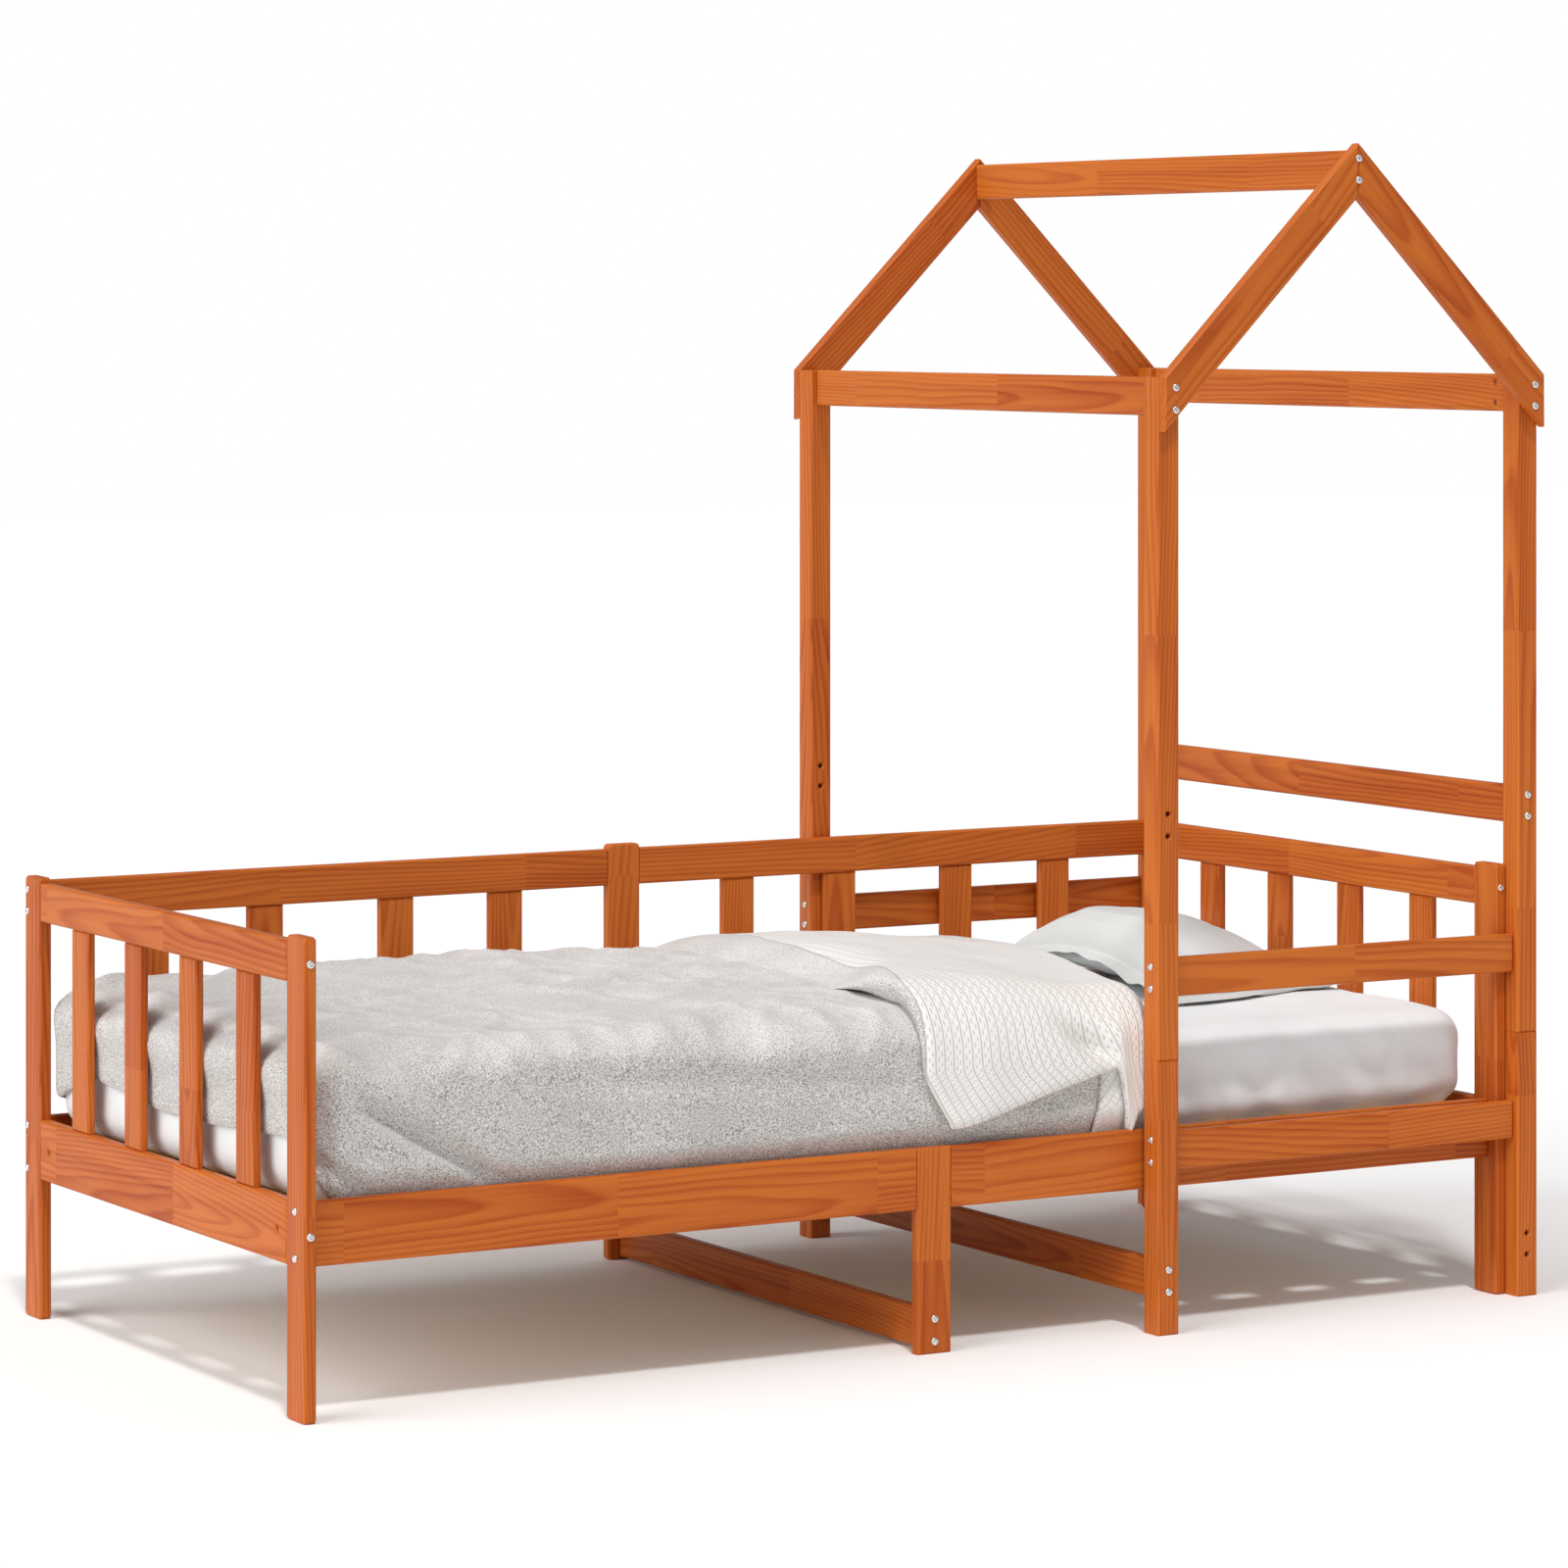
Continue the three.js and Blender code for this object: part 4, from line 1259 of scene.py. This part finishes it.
def heather_color(t, coordinates):
    """Light grey melange: pale and dark fibres speckled through each other, with painted shade on the side
    faces.
    """
    speckle = t.noise(coordinates, 430.0, 2.0, 0.8)
    patch = t.noise(coordinates, 9.0, 3.0)
    upright = t.split(t.node("ShaderNodeTexCoord").outputs["Normal"])[2]
    painted_side_shade = t.smooth(upright, 0.85, 0.15)
    fleck = t.smooth(speckle, 0.50, 0.61)
    pale = t.smooth(speckle, 0.46, 0.34)
    color = t.mix(t.smooth(patch, 0.3, 0.7), (0.640, 0.630, 0.612), (0.730, 0.722, 0.704))
    # painted shade: faces that turn away from up are darkened and get stronger dark flecks, standing in for
    # the shade on the duvet's sides
    color = t.mix(t.mul(painted_side_shade, 0.30), color, (0.380, 0.370, 0.352))
    strength = t.add(t.mul(painted_side_shade, 0.47), 0.50)
    color = t.mix(t.mul(fleck, strength), color, (0.230, 0.195, 0.165))
    return t.mix(t.mul(pale, 0.7), color, (0.900, 0.890, 0.872)), speckle


def cover_material():
    material, t, shader = new_material("duvet_heather_grey")
    coordinates = t.object_place()
    color, speckle = heather_color(t, coordinates)
    crinkle = t.noise(coordinates, 42.0, 3.0)
    height = t.add(t.mul(speckle, 0.22), crinkle)
    roughness = t.add(t.mul(speckle, 0.15), 0.78)
    dress_shader(t, shader, color, roughness, t.bump(height, 0.35, 0.002), 0.15, 0.35)
    return material


KNIT_COLUMN = 0.0052          # two columns of holes and one plain one make a rib
KNIT_ROW = 0.0064


def knit_material():
    """Off-white knit with staggered holes between its ribs, painted shade in its holes and grooves, and the
    grey cover turned over the free edge.
    """
    material, t, shader = new_material("duvet_knit_reverse")
    flat = t.node("ShaderNodeUVMap", {}, uv_map="flat").outputs["UV"]
    u, v, _ = t.split(flat)
    wobble = t.swing(t.noise(flat, 22.0, 1.0), 0.0030)
    column = t.math("DIVIDE", t.add(u, wobble), KNIT_COLUMN)
    place = t.math("FLOORED_MODULO", t.math("FLOOR", column), 3.0)
    plain = t.math("LESS_THAN", place, 0.5)
    stagger = t.mul(t.math("GREATER_THAN", place, 1.5), 0.5)
    row = t.add(t.math("DIVIDE", v, KNIT_ROW), stagger)
    off_column = t.sub(t.math("FRACT", column), 0.5)
    off_row = t.sub(t.math("FRACT", row), 0.5)
    hole_distance = t.vector("LENGTH", t.join(off_column, off_row, 0.0))
    hole = t.mul(t.smooth(hole_distance, 0.31, 0.12), t.sub(1.0, plain))
    groove = t.mul(t.smooth(t.math("ABSOLUTE", off_column), 0.36, 0.08), plain)
    yarn = t.noise(t.vector("MULTIPLY", flat, (900.0, 500.0, 1.0)), 1.0, 2.0)
    color = t.mix(t.smooth(yarn, 0.3, 0.7), (0.830, 0.812, 0.780), (0.930, 0.922, 0.900))
    # painted shade: the holes and the grooves between the ribs are darkened where shade falls in them
    color = t.mix(t.mul(hole, 0.44), color, (0.400, 0.370, 0.330))
    painted_groove_shade = t.mul(groove, t.add(t.mul(yarn, 0.5), 0.28))
    color = t.mix(painted_groove_shade, color, (0.470, 0.445, 0.405))

    # past the seam the grey cover shows; the seam lies further in towards the back of the bed
    edge = t.node("ShaderNodeUVMap", {}, uv_map="edge").outputs["UV"]
    past_seam = t.split(edge)[0]
    is_cover = t.smooth(past_seam, 0.001, -0.001)
    coordinates = t.object_place()
    grey, speckle = heather_color(t, coordinates)
    seam = t.smooth(t.math("ABSOLUTE", past_seam), 0.0022, 0.0006)
    color = t.mix(is_cover, color, grey)
    color = t.mix(t.mul(seam, 0.45), color, (0.330, 0.310, 0.290))
    knit = t.sub(t.sub(t.mul(yarn, 0.3), hole), t.mul(groove, 1.4))
    covered = t.mul(is_cover, t.sub(t.mul(speckle, 0.3), knit))
    height = t.sub(t.add(knit, covered), seam)
    roughness = t.add(t.mul(yarn, 0.1), 0.8)
    dress_shader(t, shader, color, roughness, t.bump(height, 0.55, 0.0014), 0.15, 0.2)
    return material


SHEET = plain_cotton("sheet_cotton", (0.90, 0.935, 0.945), (0.845, 0.88, 0.89), 3600.0, 0.75)
PILLOW_COTTON = plain_cotton("pillow_cotton", (0.675, 0.690, 0.678), (0.600, 0.615, 0.604), 3600.0, 0.72)
COVER = cover_material()
KNIT = knit_material()


def settle(piece, material, body, fill, slot, *nodes):
    """Dresses a soft piece, lets it ride on its body and hides the plain CAD solid that it stands for."""
    dress(piece, material)
    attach(piece, body)
    if nodes:
        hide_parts(*nodes)
    return piece


def smooth_twice(piece):
    made = piece.modifiers.new("subdivide", "SUBSURF")
    made.levels = made.render_levels = 1
    return piece


settle(mattress_piece(), SHEET, "mattress", 0.9, "sheet_cotton", "mattress")
body = simulate(duvet_body(), frames=16, cap=duvet_caps, grow=0.09, hold=0.04, bending=0.25)
settle(smooth_twice(body), COVER, "duvet", 0.5, "duvet_knit", "duvet")
flap = simulate(duvet_flap(), frames=12, cap=flap_caps, grow=0.05, hold=0.08, bending=0.3)
settle(smooth_twice(flap), KNIT, "duvet", 0.5, "duvet_knit")
pillow = simulate(pillow_piece(), frames=16, cap=pillow_caps, grow=0.02, pressure=2.5, bending=0.3,
                  floor=PILLOW_LOW.z)
settle(smooth_twice(pillow), PILLOW_COTTON, "pillow", 0.6, "pillow_cotton", "pillow")
